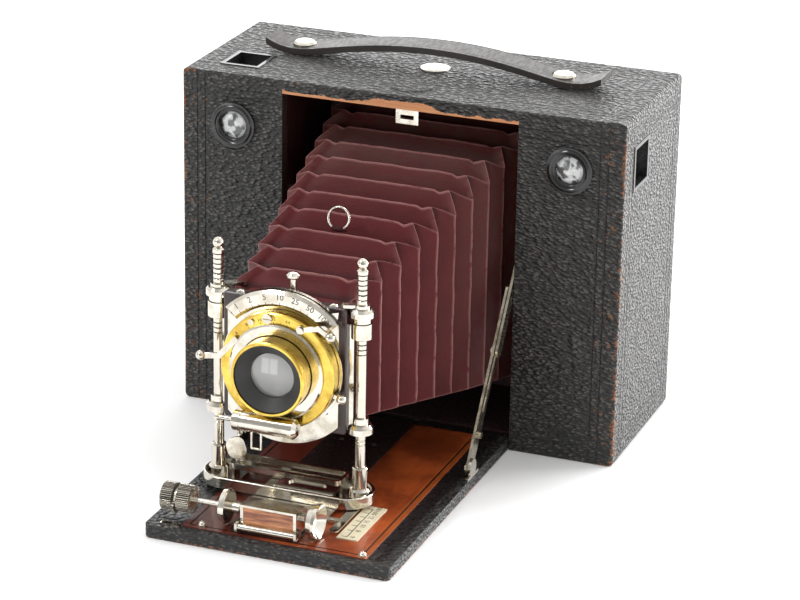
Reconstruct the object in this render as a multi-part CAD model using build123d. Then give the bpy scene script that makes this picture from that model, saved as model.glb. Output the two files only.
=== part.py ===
"""Roll-film box camera with a drop bed, leather bellows and a two-post lens standard.

Row frame: origin at the tripod socket in the middle of the body's bottom face, +X to the
right as seen from the front, +Y towards the back, +Z up.  Everything is in millimetres.
"""
from build123d import *
from math import atan2, cos, degrees, hypot, pi, radians, sin
import os

os.makedirs("parts", exist_ok=True)

# ------------------------------------------------------------------ driving dimensions
GAP = 0.3                  # usual clearance between parts that move past each other
RUN = 0.05                 # radial clearance of a running fit

# body
BODY_W, BODY_H = 216.0, 165.4
FRONT_Y, BACK_Y = -43.75, 43.75
WALL = 6.4
EDGE_R = 2.2
OPEN_X = 57.6              # half width of the front opening
CHAMBER_X = BODY_W / 2 - WALL
BACK_THICK = 6.0
SHELL_BACK_Y = BACK_Y - BACK_THICK
GATE_Y0, GATE_Y1 = 16.0, 22.0
GATE_X, GATE_Z0, GATE_Z1 = 50.8, 19.2, 146.2

# bed and its hinge
HINGE_Y, HINGE_Z, HINGE_R = -40.55, 3.2, 3.2
BED_X = 57.3
BED_FRONT_Y = -196.5
BED_T = 6.4
HINGE_PIN_R = 0.8
PANEL_X0, PANEL_X1 = -41.0, 45.0
PANEL_Y0, PANEL_Y1 = -192.0, -47.0
PANEL_TOP = 6.8

# struts: foot pivot on the bed, top pivot on the chamber wall
FOOT_Y, FOOT_Z = -92.0, 10.0
STRUT_LEN = 118.0
STRUT_LEAN = 34.78         # degrees back from vertical
LINK_IN = 54.7             # inner face of the lower link, measured from the middle
LINK_T = 1.2
LINK_W = 7.0
LOWER_LINK_LEN = 84.0
UPPER_LINK_LEN = 62.2

# focusing track
TRACK_X0, TRACK_X1 = -20.0, 12.0
TRACK_Y0, TRACK_Y1 = -188.0, -47.0
TRACK_TOP = 7.6
RUNNER_Z0, RUNNER_Z1 = 7.9, 8.7
SHAFT_Y, SHAFT_Z = -182.0, 15.0
SHAFT_R = 1.25
KNOB_R = 6.4
DISC_R = 7.8

# distance scale on the bed
CARD_X0, CARD_X1 = 25.5, 35.2
CARD_Y0, CARD_Y1 = -177.6, -142.0
POINTER_X, POINTER_Y = 22.8, -161.5

# clamp box at the front of the carriage
BOX_X0, BOX_X1 = -15.2, 11.0
BOX_Y0, BOX_Y1 = -188.0, -176.0
BOX_TOP = 19.6

# lens standard
AXIS_X, AXIS_Z = -12.35, 69.8
POST_GAP = 67.8
POST_Y = -142.0
POST_MID = -11.8           # the board hangs a little to the left between the posts
POST_X = (POST_MID - POST_GAP / 2, POST_MID + POST_GAP / 2)
POST_R = 2.3
RING_Z0, RING_FLOOR, RING_RIM = 9.0, 11.5, 14.0
RING_Y0, RING_Y1 = -154.0, -130.0
RING_END = 6.5             # how far the base ring runs past each post
BOARD_HALF = 29.0
BOARD_Y0, BOARD_Y1 = -146.5, -141.5
BOARD_Z0, BOARD_Z1 = 41.0, 100.0
PEG_X = AXIS_X + 3.0

# shutter and lens
PLATE_R, PLATE_X = 36.0, 26.2
PLATE_T = 1.8
PLATE_Y0 = BOARD_Y0 - PLATE_T
CASE_R, CASE_Y0 = 26.8, -155.0
BARREL_R, BARREL_Y0 = 17.2, -166.0
GLASS_R = 10.7
CYL_Y, CYL_Z, CYL_R = -161.7, 46.9, 4.25
CYL_X0, CYL_X1 = -26.0, -1.0
BLADE_PIVOT = 16.0
RELEASE_X, RELEASE_Z = 11.4, 21.4     # release pivot, measured from the optical axis

# reflecting finders
FINDER_X, FINDER_Z = 82.2, 140.8
FINDER_HOLE_R = 7.5

# spools and rollers
SPOOL_X, SPOOL_Y = 82.0, 18.0
SPOOL_Z0, SPOOL_Z1 = 15.0, 150.0
ROLLER_X, ROLLER_Y, ROLLER_R = 62.2, 19.5, 3.0

# carrying strap
STRAP_W, STRAP_T = 17.0, 3.0
STRAP_Y = 4.5
STRAP_SCREW_X = 64.5
SIDES = {"left": -1, "right": 1}


# ------------------------------------------------------------------ small shape helpers
def block(x0, x1, y0, y1, z0, z1):
    """Box between two corners."""
    size = (x1 - x0, y1 - y0, z1 - z0)
    centre = ((x0 + x1) / 2, (y0 + y1) / 2, (z0 + z1) / 2)
    return Pos(*centre) * Box(*size)


def rod_x(r, x0, x1, y, z):
    return Pos((x0 + x1) / 2, y, z) * Rot(0, 90, 0) * Cylinder(r, abs(x1 - x0))


def rod_y(r, y0, y1, x, z):
    return Pos(x, (y0 + y1) / 2, z) * Rot(90, 0, 0) * Cylinder(r, abs(y1 - y0))


def rod_z(r, z0, z1, x, y):
    return Pos(x, y, (z0 + z1) / 2) * Cylinder(r, abs(z1 - z0))


def ball(r, x, y, z):
    return Pos(x, y, z) * Sphere(r)


def turned(profile):
    """Solid of revolution about Z from (radius, height) points."""
    points = [(r, 0, z) for r, z in profile]
    return revolve(make_face(Polyline(*points, close=True)), Axis.Z)


def turned_z(profile, x, y):
    return Pos(x, y, 0) * turned(profile)


def turned_y(profile, x, z):
    """Turned about a Y axis: profile heights are Y values."""
    return Pos(x, 0, z) * Rot(-90, 0, 0) * turned(profile)


def turned_x(profile, y, z):
    """Turned about an X axis: profile heights are X values."""
    return Pos(0, y, z) * Rot(0, 90, 0) * turned(profile)


def plate_y(outline, y0, y1, x=0.0, z=0.0):
    """Flat plate facing -Y; outline is a sketch whose x is X and whose y is Z."""
    return Pos(x, y1, z) * Rot(90, 0, 0) * extrude(outline, y1 - y0)


def plate_x(outline, x0, x1, y=0.0, z=0.0):
    """Flat plate facing +X; outline is a sketch whose x is Y and whose y is Z."""
    return Pos(x0, y, z) * Rot(0, 0, 90) * Rot(90, 0, 0) * extrude(outline, x1 - x0)


def plate_z(outline, z0, z1, x=0.0, y=0.0):
    return Pos(x, y, z0) * extrude(outline, z1 - z0)


def capsule(x0, x1, r):
    """Stadium outline from x0 to x1 overall, with round ends."""
    return Pos((x0 + x1) / 2, 0) * SlotOverall(x1 - x0, 2 * r)


def star(r_root, r_tip, count):
    """Knurled or toothed outline."""
    step = 2 * pi / count
    points = []
    for i in range(count):
        for part, r in ((0.0, r_root), (0.30, r_root), (0.45, r_tip), (0.85, r_tip)):
            angle = (i + part) * step
            points.append((r * cos(angle), r * sin(angle)))
    return make_face(Polyline(*points, close=True))


def knurled_x(r, count, x0, x1, y, z):
    return plate_x(star(r - 0.28, r, count), x0, x1, y, z)


def in_side(side, x_in, x_out):
    """X interval on one side of the body, given distances from the middle."""
    return (x_in, x_out) if side > 0 else (-x_out, -x_in)


def save(name, *solids):
    shape = solids[0] if len(solids) == 1 else Compound([s for item in solids for s in item.solids()])
    shape.label = name
    export_step(shape, f"parts/{name}.step")


# ------------------------------------------------------------------ body
def rounded_case(y0, y1):
    """Outer block of the body, round along its front-to-back edges."""
    case = block(-BODY_W / 2, BODY_W / 2, y0, y1, 0, BODY_H)
    return fillet(case.edges().filter_by(Axis.Y), EDGE_R)


def body_shell():
    shell = rounded_case(FRONT_Y, SHELL_BACK_Y)
    front_face = shell.faces().sort_by(Axis.Y)[0]
    shell = fillet(front_face.edges(), 1.2)
    inside_y = FRONT_Y + WALL
    shell -= block(-CHAMBER_X, CHAMBER_X, inside_y, SHELL_BACK_Y + 1, WALL, BODY_H - WALL)
    shell -= block(-OPEN_X, OPEN_X, FRONT_Y - 1, inside_y + 1, WALL, BODY_H - WALL)
    shell -= block(-OPEN_X, OPEN_X, FRONT_Y - 1, HINGE_Y + HINGE_R + GAP, -1, WALL + 1)
    for side in SIDES.values():
        shell -= rod_y(FINDER_HOLE_R, FRONT_Y - 1, inside_y + 1, side * FINDER_X, FINDER_Z)
        x0, x1 = in_side(side, OPEN_X - 1, OPEN_X + 3.5)
        shell -= rod_x(HINGE_PIN_R, x0, x1, HINGE_Y, HINGE_Z)
    # finder windows: one looks up, the other looks sideways
    shell -= block(-94.5, -75.0, -31.0, -9.0, BODY_H - WALL - 1, BODY_H + 1)
    shell -= block(CHAMBER_X - 1, BODY_W / 2 + 1, -30.0, -8.0, 129.5, 151.0)
    # tripod bushes
    shell -= rod_z(7, -1, WALL + 1, 0, 0)
    shell -= rod_x(7, -BODY_W / 2 - 1, -CHAMBER_X + 1, 0, BODY_H / 2)
    # recess and shaft hole of the winding key
    shell -= rod_z(14, -1, 4.5, SPOOL_X, SPOOL_Y)
    shell -= rod_z(2 + RUN, 4, WALL + 1, SPOOL_X, SPOOL_Y)
    # buttons in the top
    shell -= rod_z(10 + RUN, BODY_H - 3.2, BODY_H + 1, 0, -27)
    shell -= rod_z(3 + RUN, BODY_H - WALL - 1, BODY_H, 0, -27)
    shell -= rod_z(5 + RUN, BODY_H - 3, BODY_H + 1, 0, 3)
    shell -= rod_z(7 + RUN, BODY_H - 1.6, BODY_H + 1, 0, 3)
    # holes for roller pins, spool pins and strap screws
    for side in SIDES.values():
        for z in (WALL, BODY_H - WALL):
            shell -= rod_z(1 + RUN, z - 2.5, z + 2.5, side * ROLLER_X, ROLLER_Y)
        shell -= rod_z(2, BODY_H - WALL - 1, BODY_H - 3, side * SPOOL_X, SPOOL_Y)
        shell -= rod_z(1.8, BODY_H - 5, BODY_H + 1, side * STRAP_SCREW_X - 2, STRAP_Y)
    shell -= rod_z(2, 3, WALL + 1, -SPOOL_X, SPOOL_Y)
    return shell


def body_boards():
    """The six boards of the body, cut from its shape where one board meets the next."""
    shell = body_shell()
    far = BODY_W
    low, high = WALL, BODY_H - WALL
    boards = [shell & block(-far, far, -far, far, high, far), shell & block(-far, far, -far, far, -far, low)]
    for side in SIDES.values():
        end_x = in_side(side, CHAMBER_X, far)
        panel_x = in_side(side, 0, CHAMBER_X)
        boards.append(shell & block(*end_x, -far, far, low, high))
        boards.append(shell & block(*panel_x, -far, far, low, high))
    return boards


def picture_frame(x, y0, y1, z0, z1, hole_x, hole_z0, hole_z1):
    """Frame of four bars round an upright window."""
    bars = [block(-x, x, y0, y1, z0, hole_z0), block(-x, x, y0, y1, hole_z1, z1)]
    return bars + [block(*in_side(side, hole_x, x), y0, y1, hole_z0, hole_z1) for side in SIDES.values()]


def side_partitions():
    boards = []
    for side in SIDES.values():
        x0, x1 = in_side(side, OPEN_X, OPEN_X + 3)
        board = block(x0, x1, FRONT_Y + WALL, GATE_Y0, WALL, BODY_H - WALL)
        y, z = strut_point(STRUT_LEN)
        board -= rod_x(1.2, x0 - 1, x1 + 1, y, z)
        boards.append(board)
    return boards


def film_gate():
    return picture_frame(OPEN_X, GATE_Y0, GATE_Y1, WALL, BODY_H - WALL, GATE_X, GATE_Z0, GATE_Z1)


def bellows_frame():
    return picture_frame(56, GATE_Y0 - 2, GATE_Y0, 8.5, 157, GATE_X, GATE_Z0, GATE_Z1)


def film_roller(side):
    profile = [(0, WALL - 2), (1, WALL - 2), (1, 9), (ROLLER_R, 9), (ROLLER_R, 156.4), (1, 156.4),
               (1, BODY_H - WALL + 2), (0, BODY_H - WALL + 2)]
    return turned_z(profile, side * ROLLER_X, ROLLER_Y)


def spool(side):
    core, flange, bore = 5.5, 14.0, 2 + RUN
    z0, z1 = SPOOL_Z0, SPOOL_Z1
    profile = [(bore, z0), (flange, z0), (flange, z0 + 1.5), (core, z0 + 1.5), (core, z1 - 1.5),
               (flange, z1 - 1.5), (flange, z1), (bore, z1)]
    return turned_z(profile, side * SPOOL_X, SPOOL_Y)


def spool_pins():
    return [rod_z(2, 3, SPOOL_Z0 + 6, -SPOOL_X, SPOOL_Y),
            rod_z(2, SPOOL_Z1 - 6, BODY_H - 3, -SPOOL_X, SPOOL_Y),
            rod_z(2, SPOOL_Z1 - 6, BODY_H - 3, SPOOL_X, SPOOL_Y)]


def winding_key():
    shaft = rod_z(2, 3.6, SPOOL_Z0 + 8, SPOOL_X, SPOOL_Y)
    hub = rod_z(4.5, 0.6, 4.2, SPOOL_X, SPOOL_Y)
    wing = plate_z(capsule(-12, 12, 2.2), 0.6, 3.4, SPOOL_X, SPOOL_Y)
    return shaft + hub + wing


def back_cover():
    cover = rounded_case(SHELL_BACK_Y, BACK_Y)
    cover = fillet(cover.faces().sort_by(Axis.Y)[-1].edges(), 1.2)
    lip = CHAMBER_X - GAP
    tongue = block(-lip, lip, 32, SHELL_BACK_Y, WALL + GAP, BODY_H - WALL - GAP)
    tongue -= block(-lip + 3, lip - 3, 31, SHELL_BACK_Y + 1, WALL + 3.3, BODY_H - WALL - 3.3)
    cover += tongue
    cover -= rod_y(6, SHELL_BACK_Y - 1, BACK_Y + 1, 0, BODY_H / 2)
    return cover - rod_y(1, SHELL_BACK_Y + 1, BACK_Y + 1, 0, BODY_H / 2 + 13)


def ruby_window():
    return rod_y(6, BACK_Y - 3, BACK_Y - 1.5, 0, BODY_H / 2)


def ruby_cover():
    """Little nickel flap over the red window, hanging from one screw."""
    z = BODY_H / 2
    flap = rod_y(8, BACK_Y + GAP, BACK_Y + 1.3, 0, z)
    arm = block(-3, 3, BACK_Y + GAP, BACK_Y + 1.3, z, z + 13)
    boss = rod_y(3, BACK_Y + GAP, BACK_Y + 1.3, 0, z + 13)
    return flap + arm + boss - rod_y(1 + RUN, BACK_Y, BACK_Y + 2, 0, z + 13)


def ruby_screw():
    z = BODY_H / 2 + 13
    return rod_y(1, SHELL_BACK_Y + 1, BACK_Y + 1.6, 0, z) + rod_y(2, BACK_Y + 1.6, BACK_Y + 2.4, 0, z)


def film_pressure_pad():
    """Flat spring plate inside the back that holds the film against the gate."""
    plate = block(-46, 46, 26, 27, 24, 141)
    springs = [block(x - 4, x + 4, 27, SHELL_BACK_Y, 60, 105) for x in (-28, 28)]
    plate -= rod_y(7, 20, 30, 0, BODY_H / 2)
    return plate + springs[0] + springs[1]


def finder_bezel(side):
    profile = [(6.6, FRONT_Y + 5), (FINDER_HOLE_R, FRONT_Y + 5), (FINDER_HOLE_R, FRONT_Y),
               (11, FRONT_Y), (11, FRONT_Y - 1.0), (10, FRONT_Y - 1.8), (7.6, FRONT_Y - 1.8),
               (6.6, FRONT_Y - 0.6)]
    return turned_y(profile, side * FINDER_X, FINDER_Z)


def finder_lens(side):
    profile = [(0, FRONT_Y + 3.4), (6.6, FRONT_Y + 3.0), (6.6, FRONT_Y + 1.0), (5, FRONT_Y + 0.4),
               (2.5, FRONT_Y), (0, FRONT_Y - 0.15)]
    return turned_y(profile, side * FINDER_X, FINDER_Z)


def finder_mirror(side):
    """Mirror at 45 degrees: the left one throws the view up, the right one sideways."""
    mirror = Box(19, 24, 1.2) if side < 0 else Box(24, 19, 1.2)
    if side < 0:
        return Pos(-FINDER_X - 2, -22, 141) * Rot(45, 0, 0) * mirror
    return Pos(FINDER_X + 2, -22, FINDER_Z) * Rot(0, 0, 45) * Rot(90, 0, 0) * mirror


def finder_screens():
    """Ground glasses, one under the top window and one behind the side window."""
    top = block(-94, -75.5, -30.5, -9.5, BODY_H - WALL - 0.2, BODY_H - WALL + 1.2)
    side = block(CHAMBER_X - 0.2, CHAMBER_X + 1.2, -29.5, -8.5, 130, 150.5)
    return [top, side]


def finder_frames():
    """Thin mitred frames that line the two finder windows."""
    z0, z1 = BODY_H - WALL + 1.2, BODY_H + 0.4
    top = block(-94.5, -75, -31, -9, z0, z1) - block(-92.7, -76.8, -29.2, -10.8, z0 - 1, z1 + 1)
    x0, x1 = CHAMBER_X + 1.2, BODY_W / 2 + 0.4
    side = block(x0, x1, -30, -8, 129.5, 151) - block(x0 - 1, x1 + 1, -28.2, -9.8, 131.3, 149.2)
    return [top, side]


def tripod_bush():
    profile = [(2.6, 0), (7, 0), (7, WALL), (9.5, WALL), (9.5, WALL + 2), (2.6, WALL + 2)]
    return turned(profile)


def bottom_bush():
    return tripod_bush()


def side_bush():
    return Pos(-BODY_W / 2, 0, BODY_H / 2) * Rot(0, 90, 0) * tripod_bush()


def bed_release_button():
    z = BODY_H
    return rod_z(10, z - 1.5, z + 0.3, 0, -27) + rod_z(3, z - WALL - 2.2, z - 1.5, 0, -27)


def bed_catch():
    """Bright hook under the top wall that the front edge of the closed bed snaps over."""
    top = BODY_H - WALL - 2.2
    hook = block(-4.2, 6.8, -35.5, -24.0, top - 1.4, top)
    hook += block(-4.2, 6.8, -36.7, -35.5, top - 6.9, top)
    return hook - block(-2, 4.6, -37.5, -34.7, top - 4.6, top - 2.6)


def back_release_button():
    return rod_z(7, BODY_H - 0.5, BODY_H + 0.6, 0, 3) + rod_z(5, BODY_H - 1.9, BODY_H - 0.5, 0, 3)


def handle_strap():
    """Leather strap: flat under its screws, arched in the middle, ends curling up."""
    centre = [(-83, 171.0), (-75, 168.0), (-66.5, 167.3), (-56, 168.8), (-28, 173.6), (0, 175.3)]
    centre += [(-x, z) for x, z in reversed(centre[:-1])]
    half = STRAP_T / 2
    upper = Spline(*[(x, z + half) for x, z in centre])
    lower = Spline(*[(x, z - half) for x, z in centre])
    ends = [Line(lower @ 0, upper @ 0), Line(lower @ 1, upper @ 1)]
    outline = make_face([upper, lower] + ends)
    strap = plate_y(outline, STRAP_Y - STRAP_W / 2, STRAP_Y + STRAP_W / 2)
    for side in SIDES.values():
        x = side * STRAP_SCREW_X - 2
        strap -= rod_z(1.8, BODY_H - 1, BODY_H + 6, x, STRAP_Y)
        strap -= rod_z(5.6, BODY_H + 3.4, BODY_H + 12, x, STRAP_Y)
    return strap


def strap_screw(side):
    x, top = side * STRAP_SCREW_X - 2, BODY_H + 3.4
    profile = [(0, BODY_H - 5), (1.8, BODY_H - 5), (1.8, top), (5.5, top), (5.5, top + 0.8),
               (4.4, top + 1.8), (0, top + 2.2)]
    slot = block(x - 7, x + 7, STRAP_Y - 0.5, STRAP_Y + 0.5, top + 1.4, top + 3)
    return turned_z(profile, x, STRAP_Y) - slot


# ------------------------------------------------------------------ bed
def bed_board():
    board = block(-BED_X, BED_X, BED_FRONT_Y, HINGE_Y, 0, BED_T)
    front_edges = board.faces().sort_by(Axis.Y)[0].edges()
    board = fillet(front_edges.filter_by(Axis.Z), 2.5)
    board = fillet(board.edges().group_by(Axis.Z)[0].sort_by(Axis.Y)[:1], 1.0)
    board += rod_x(HINGE_R, -BED_X, BED_X, HINGE_Y, HINGE_Z)
    board -= block(PANEL_X0, PANEL_X1, PANEL_Y0, PANEL_Y1, PANEL_TOP - 2, BED_T + 1)
    return board - rod_x(HINGE_PIN_R + RUN, -BED_X - 1, BED_X + 1, HINGE_Y, HINGE_Z)


def hinge_pin():
    return rod_x(HINGE_PIN_R, -OPEN_X - 3, OPEN_X + 3, HINGE_Y, HINGE_Z)


def bed_panel():
    panel = block(PANEL_X0, PANEL_X1, PANEL_Y0, PANEL_Y1, PANEL_TOP - 2, PANEL_TOP)
    line = block(PANEL_X0 + 2.4, PANEL_X1 - 2.4, PANEL_Y0 + 2.4, PANEL_Y1 - 2.4, PANEL_TOP - 0.3,
                 PANEL_TOP + 1)
    line -= block(PANEL_X0 + 3, PANEL_X1 - 3, PANEL_Y0 + 3, PANEL_Y1 - 3, PANEL_TOP - 1, PANEL_TOP + 2)
    return panel - line


def track_plate():
    return block(TRACK_X0, TRACK_X1, TRACK_Y0, TRACK_Y1, PANEL_TOP, TRACK_TOP)


def track_screws():
    places = [(x, y) for x in (-12.5, 3.8) for y in (-77.7, -112.4)]
    return [rod_z(1.0, TRACK_TOP, TRACK_TOP + 0.15, x, y) for x, y in places]


def scale_card():
    return block(CARD_X0, CARD_X1, CARD_Y0, CARD_Y1, PANEL_TOP, PANEL_TOP + 0.5)


def bed_pins():
    """Two little dome-headed stops and the strike that the catch holds."""
    pins = [rod_z(2.0, PANEL_TOP, PANEL_TOP + 0.5, x, y) + ball(1.6, x, y, PANEL_TOP + 0.5)
            for x, y in ((-33, -188.6), (42.6, -189.6))]
    pins = [pin - block(-60, 60, -200, -180, 0, PANEL_TOP) for pin in pins]
    return pins


def bed_strike():
    return block(-51, -42, -193.4, -190.6, BED_T, BED_T + 0.7)


# ------------------------------------------------------------------ struts
def strut_point(distance):
    """(Y, Z) of a point on the line from the foot pivot to the top pivot."""
    lean = radians(STRUT_LEAN)
    return FOOT_Y + distance * sin(lean), FOOT_Z + distance * cos(lean)


def link(side, x_in, d0, d1, width):
    """Round-ended flat bar along the strut line between two distances from the foot."""
    x0, x1 = in_side(side, x_in, x_in + LINK_T)
    outline = Rot(0, 0, 90 - STRUT_LEAN) * capsule(d0 - width / 2, d1 + width / 2, width / 2)
    return plate_x(outline, x0, x1, FOOT_Y, FOOT_Z)


def strut_lower(side):
    bar = link(side, LINK_IN, 0, LOWER_LINK_LEN, LINK_W)
    x0, x1 = in_side(side, LINK_IN - 1, LINK_IN + LINK_T + 1)
    slot = Rot(0, 0, 90 - STRUT_LEAN) * capsule(26, 72, 1.5)
    bar -= plate_x(slot, x0, x1, FOOT_Y, FOOT_Z)
    bar -= rod_x(1.2 + RUN, x0, x1, FOOT_Y, FOOT_Z)
    y, z = strut_point(16)
    x0, x1 = in_side(side, LINK_IN + LINK_T, LINK_IN + LINK_T + 1.8)
    return bar + rod_x(1.6, x0, x1, y, z)


def strut_upper(side):
    low = STRUT_LEN - UPPER_LINK_LEN
    x_in = LINK_IN + LINK_T + GAP
    bar = link(side, x_in, low, STRUT_LEN, LINK_W - 1)
    y, z = strut_point(STRUT_LEN)
    x0, x1 = in_side(side, x_in - 1, x_in + LINK_T + 1)
    bar -= rod_x(1.2 + RUN, x0, x1, y, z)
    y, z = strut_point(low)
    x0, x1 = in_side(side, LINK_IN - GAP, x_in)
    bar += rod_x(0.9, x0, x1, y, z)
    x0, x1 = in_side(side, LINK_IN - GAP - 0.7, LINK_IN - GAP)
    return bar + rod_x(2.2, x0, x1, y, z)


def strut_foot(side):
    """Angle bracket on the bed with the foot pivot riveted into it."""
    x_out = LINK_IN + LINK_T + GAP
    x0, x1 = in_side(side, x_out, BED_X)
    bracket = plate_x(Rot(0, 0, 90) * capsule(-3.6, 5.0, 4.2), x0, x1, FOOT_Y, FOOT_Z)
    bracket += block(x0, x1, FOOT_Y - 7, FOOT_Y + 7, BED_T, BED_T + 1.4)
    x0, x1 = in_side(side, LINK_IN - GAP, x_out)
    bracket += rod_x(1.2, x0, x1, FOOT_Y, FOOT_Z)
    x0, x1 = in_side(side, LINK_IN - GAP - 0.6, LINK_IN - GAP)
    return bracket + rod_x(2.3, x0, x1, FOOT_Y, FOOT_Z)


def strut_pivot(side):
    """Shouldered screw in the chamber wall that carries the upper link."""
    y, z = strut_point(STRUT_LEN)
    x_in = LINK_IN + LINK_T
    x0, x1 = in_side(side, x_in, OPEN_X + 2.5)
    head0, head1 = in_side(side, x_in - 0.8, x_in)
    return rod_x(1.2, x0, x1, y, z) + rod_x(2.6, head0, head1, y, z)


# ------------------------------------------------------------------ carriage and focusing
def track_runner():
    """Sheet-metal slide that hugs both edges of the track plate."""
    y0, y1, narrow_y = BOX_Y0 + 0.5, RING_Y1 - 2, BOX_Y1 + 4
    out0, out1 = TRACK_X0 - 3.6, TRACK_X1 + 3.6
    runner = block(out0, out1, narrow_y, y1, PANEL_TOP + GAP, RUNNER_Z1)
    runner += block(BOX_X0, BOX_X1, y0, narrow_y, RUNNER_Z0, RUNNER_Z1)
    return runner - block(TRACK_X0 - GAP, TRACK_X1 + GAP, y0 - 1, y1 + 1, 0, RUNNER_Z0)


def cross_guide():
    """Block in the base ring's slot that steers the lens standard sideways."""
    guide = block(-16.8, 12.6, RING_Y0 + 4.6, RING_Y1 - 4.6, RUNNER_Z1, 12.4)
    guide = chamfer(guide.edges().group_by(Axis.Z)[-1], 0.6)
    return guide - plate_z(capsule(-9, 9, 3.2), 11.6, 13, -3, POST_Y)


def clamp_box():
    """Nickel housing of the clamp cam, open at the front for its wooden panel."""
    box = block(BOX_X0, BOX_X1, BOX_Y0, BOX_Y1, RUNNER_Z1, BOX_TOP)
    box = chamfer(box.edges().filter_by(Axis.X).group_by(Axis.Z)[-1].sort_by(Axis.Y)[-1:], 2.5)
    box -= block(BOX_X0 + 1.2, BOX_X1 - 1.2, BOX_Y0 + 3.0, BOX_Y1 - 1.2, RUNNER_Z1 + 1.2, BOX_TOP - 1.2)
    box -= block(BOX_X0 + 1.4, BOX_X1 - 1.4, BOX_Y0 - 1, BOX_Y0 + 2.0, RUNNER_Z1 + 2.2, BOX_TOP - 1.0)
    return box - rod_x(SHAFT_R + RUN, BOX_X0 - 1, BOX_X1 + 1, SHAFT_Y, SHAFT_Z)


def wood_insert():
    panel = block(BOX_X0 + 1.4, BOX_X1 - 1.4, BOX_Y0 + 0.2, BOX_Y0 + 2.0, RUNNER_Z1 + 2.2, BOX_TOP - 1.0)
    return panel


def clamp_roller():
    """Round bar across the foot of the box, between two ears."""
    y, z = BOX_Y0 - 1.8, 9.9
    bar = rod_x(1.4, BOX_X0 - 0.2, BOX_X1 + 0.2, y, z)
    for x in (BOX_X0 - 0.8, BOX_X1 + 0.8):
        bar += block(x - 0.6, x + 0.6, y - 1.6, BOX_Y0 + 2.5, RUNNER_Z1 - 0.5, z + 1.8)
    return bar


def clamp_shaft():
    """Cross shaft with the cam that grips the track when the outer knob is turned."""
    cam = rod_x(2.3, BOX_X0 + 2.5, BOX_X1 - 2.5, SHAFT_Y, SHAFT_Z + 0.5)
    return rod_x(SHAFT_R, -52.5, BOX_X1 + 1.6, SHAFT_Y, SHAFT_Z) + cam


def clamp_knob():
    knob = knurled_x(KNOB_R, 40, -53.6, -48.2, SHAFT_Y, SHAFT_Z)
    return knob - rod_x(SHAFT_R, -60, -40, SHAFT_Y, SHAFT_Z)


def lock_knob():
    knob = knurled_x(KNOB_R, 40, -46.2, -39.8, SHAFT_Y, SHAFT_Z)
    return knob - rod_x(SHAFT_R + RUN, -60, -30, SHAFT_Y, SHAFT_Z)


def lock_lever():
    """Flat fan-shaped blade between the two knobs; it clamps the focus."""
    blade = plate_x(Circle(4.6), -47.8, -46.6, SHAFT_Y, SHAFT_Z)
    fan = make_face(Polyline((-4.4, 1.0), (4.0, -2.0), (2.0, -6.2), (-4.8, -6.6), (-7.4, -2.0), close=True))
    blade += plate_x(fan, -47.8, -46.6, SHAFT_Y, SHAFT_Z)
    blade += rod_x(3.2, -46.6, -46.2, SHAFT_Y, SHAFT_Z)
    return blade - rod_x(SHAFT_R + RUN, -60, -30, SHAFT_Y, SHAFT_Z)


def finger_disc_left():
    bore = SHAFT_R + RUN
    profile = [(bore, -22.8), (DISC_R - 0.5, -22.8), (DISC_R, -23.5), (DISC_R - 0.4, -25.4), (4.5, -24.4),
               (bore, -24.2)]
    sleeve = turned_x([(bore, -22.8), (2.4, -22.8), (2.4, -17.6), (bore, -17.6)], SHAFT_Y, SHAFT_Z)
    return turned_x(profile, SHAFT_Y, SHAFT_Z) + sleeve


def finger_disc_right():
    profile = [(0, 16.2), (4.0, 16.4), (DISC_R, 19.6), (DISC_R + 0.1, 18.2), (7.0, 15.6), (3.0, 14.8),
               (3.0, 14.2), (0, 14.2)]
    return turned_x(profile, SHAFT_Y, SHAFT_Z)


def scale_pointer():
    """Flat strip beside the distance scale, carried on an arm from the runner."""
    z0, z1 = RUNNER_Z0, RUNNER_Z0 + 0.6
    strip = plate_z(Pos(POINTER_X, POINTER_Y) * SlotOverall(28.0, 4.2, rotation=90), z0, z1)
    return strip + block(TRACK_X1 + 3.6, POINTER_X, -166, -162, z0, z1)


# ------------------------------------------------------------------ lens standard
def base_ring():
    """Boat-shaped casting under the posts, with a raised rim and a long slot."""
    mid_y = (RING_Y0 + RING_Y1) / 2
    half = (RING_Y1 - RING_Y0) / 2
    x0, x1 = POST_X[0] - RING_END, POST_X[1] + RING_END
    ring = plate_z(capsule(x0, x1, half), RING_Z0, RING_RIM, 0, mid_y)
    ring = fillet(ring.edges().group_by(Axis.Z)[-1], 0.6)
    ring -= plate_z(capsule(x0 + 1.6, x1 - 1.6, half - 1.6), RING_FLOOR, RING_RIM + 1, 0, mid_y)
    slot = Pos((POST_X[0] + POST_X[1]) / 2, 0) * RectangleRounded(47, 2 * half - 8, 1.5)
    ring -= plate_z(Pos(1.85, 0) * slot, 0, RING_RIM + 1, 0, mid_y)
    for x in POST_X:
        ring -= rod_z(2.0, 0, RING_RIM + 1, x, POST_Y)
    return ring


def post(x):
    r = POST_R
    z = RING_FLOOR
    profile = [(0, RING_Z0 + 0.2), (2.0, RING_Z0 + 0.2), (2.0, z), (4.6, z), (4.6, z + 3.0), (3.9, z + 4.0),
               (3.4, z + 4.2), (3.4, 24.9), (3.1, 25.5), (r, 25.6)]
    for groove in (36.0, 38.0, 103.5, 106.0, 108.5):
        profile += [(r, groove), (r - 0.2, groove + 0.2), (r - 0.2, groove + 0.6), (r, groove + 0.8)]
    profile += [(r, 115.2), (2.6, 115.4), (2.6, 117.4), (1.4, 118.4), (0, 118.4)]
    return turned_z(profile, x, POST_Y) + ball(2.5, x, POST_Y, 120.4)


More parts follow.
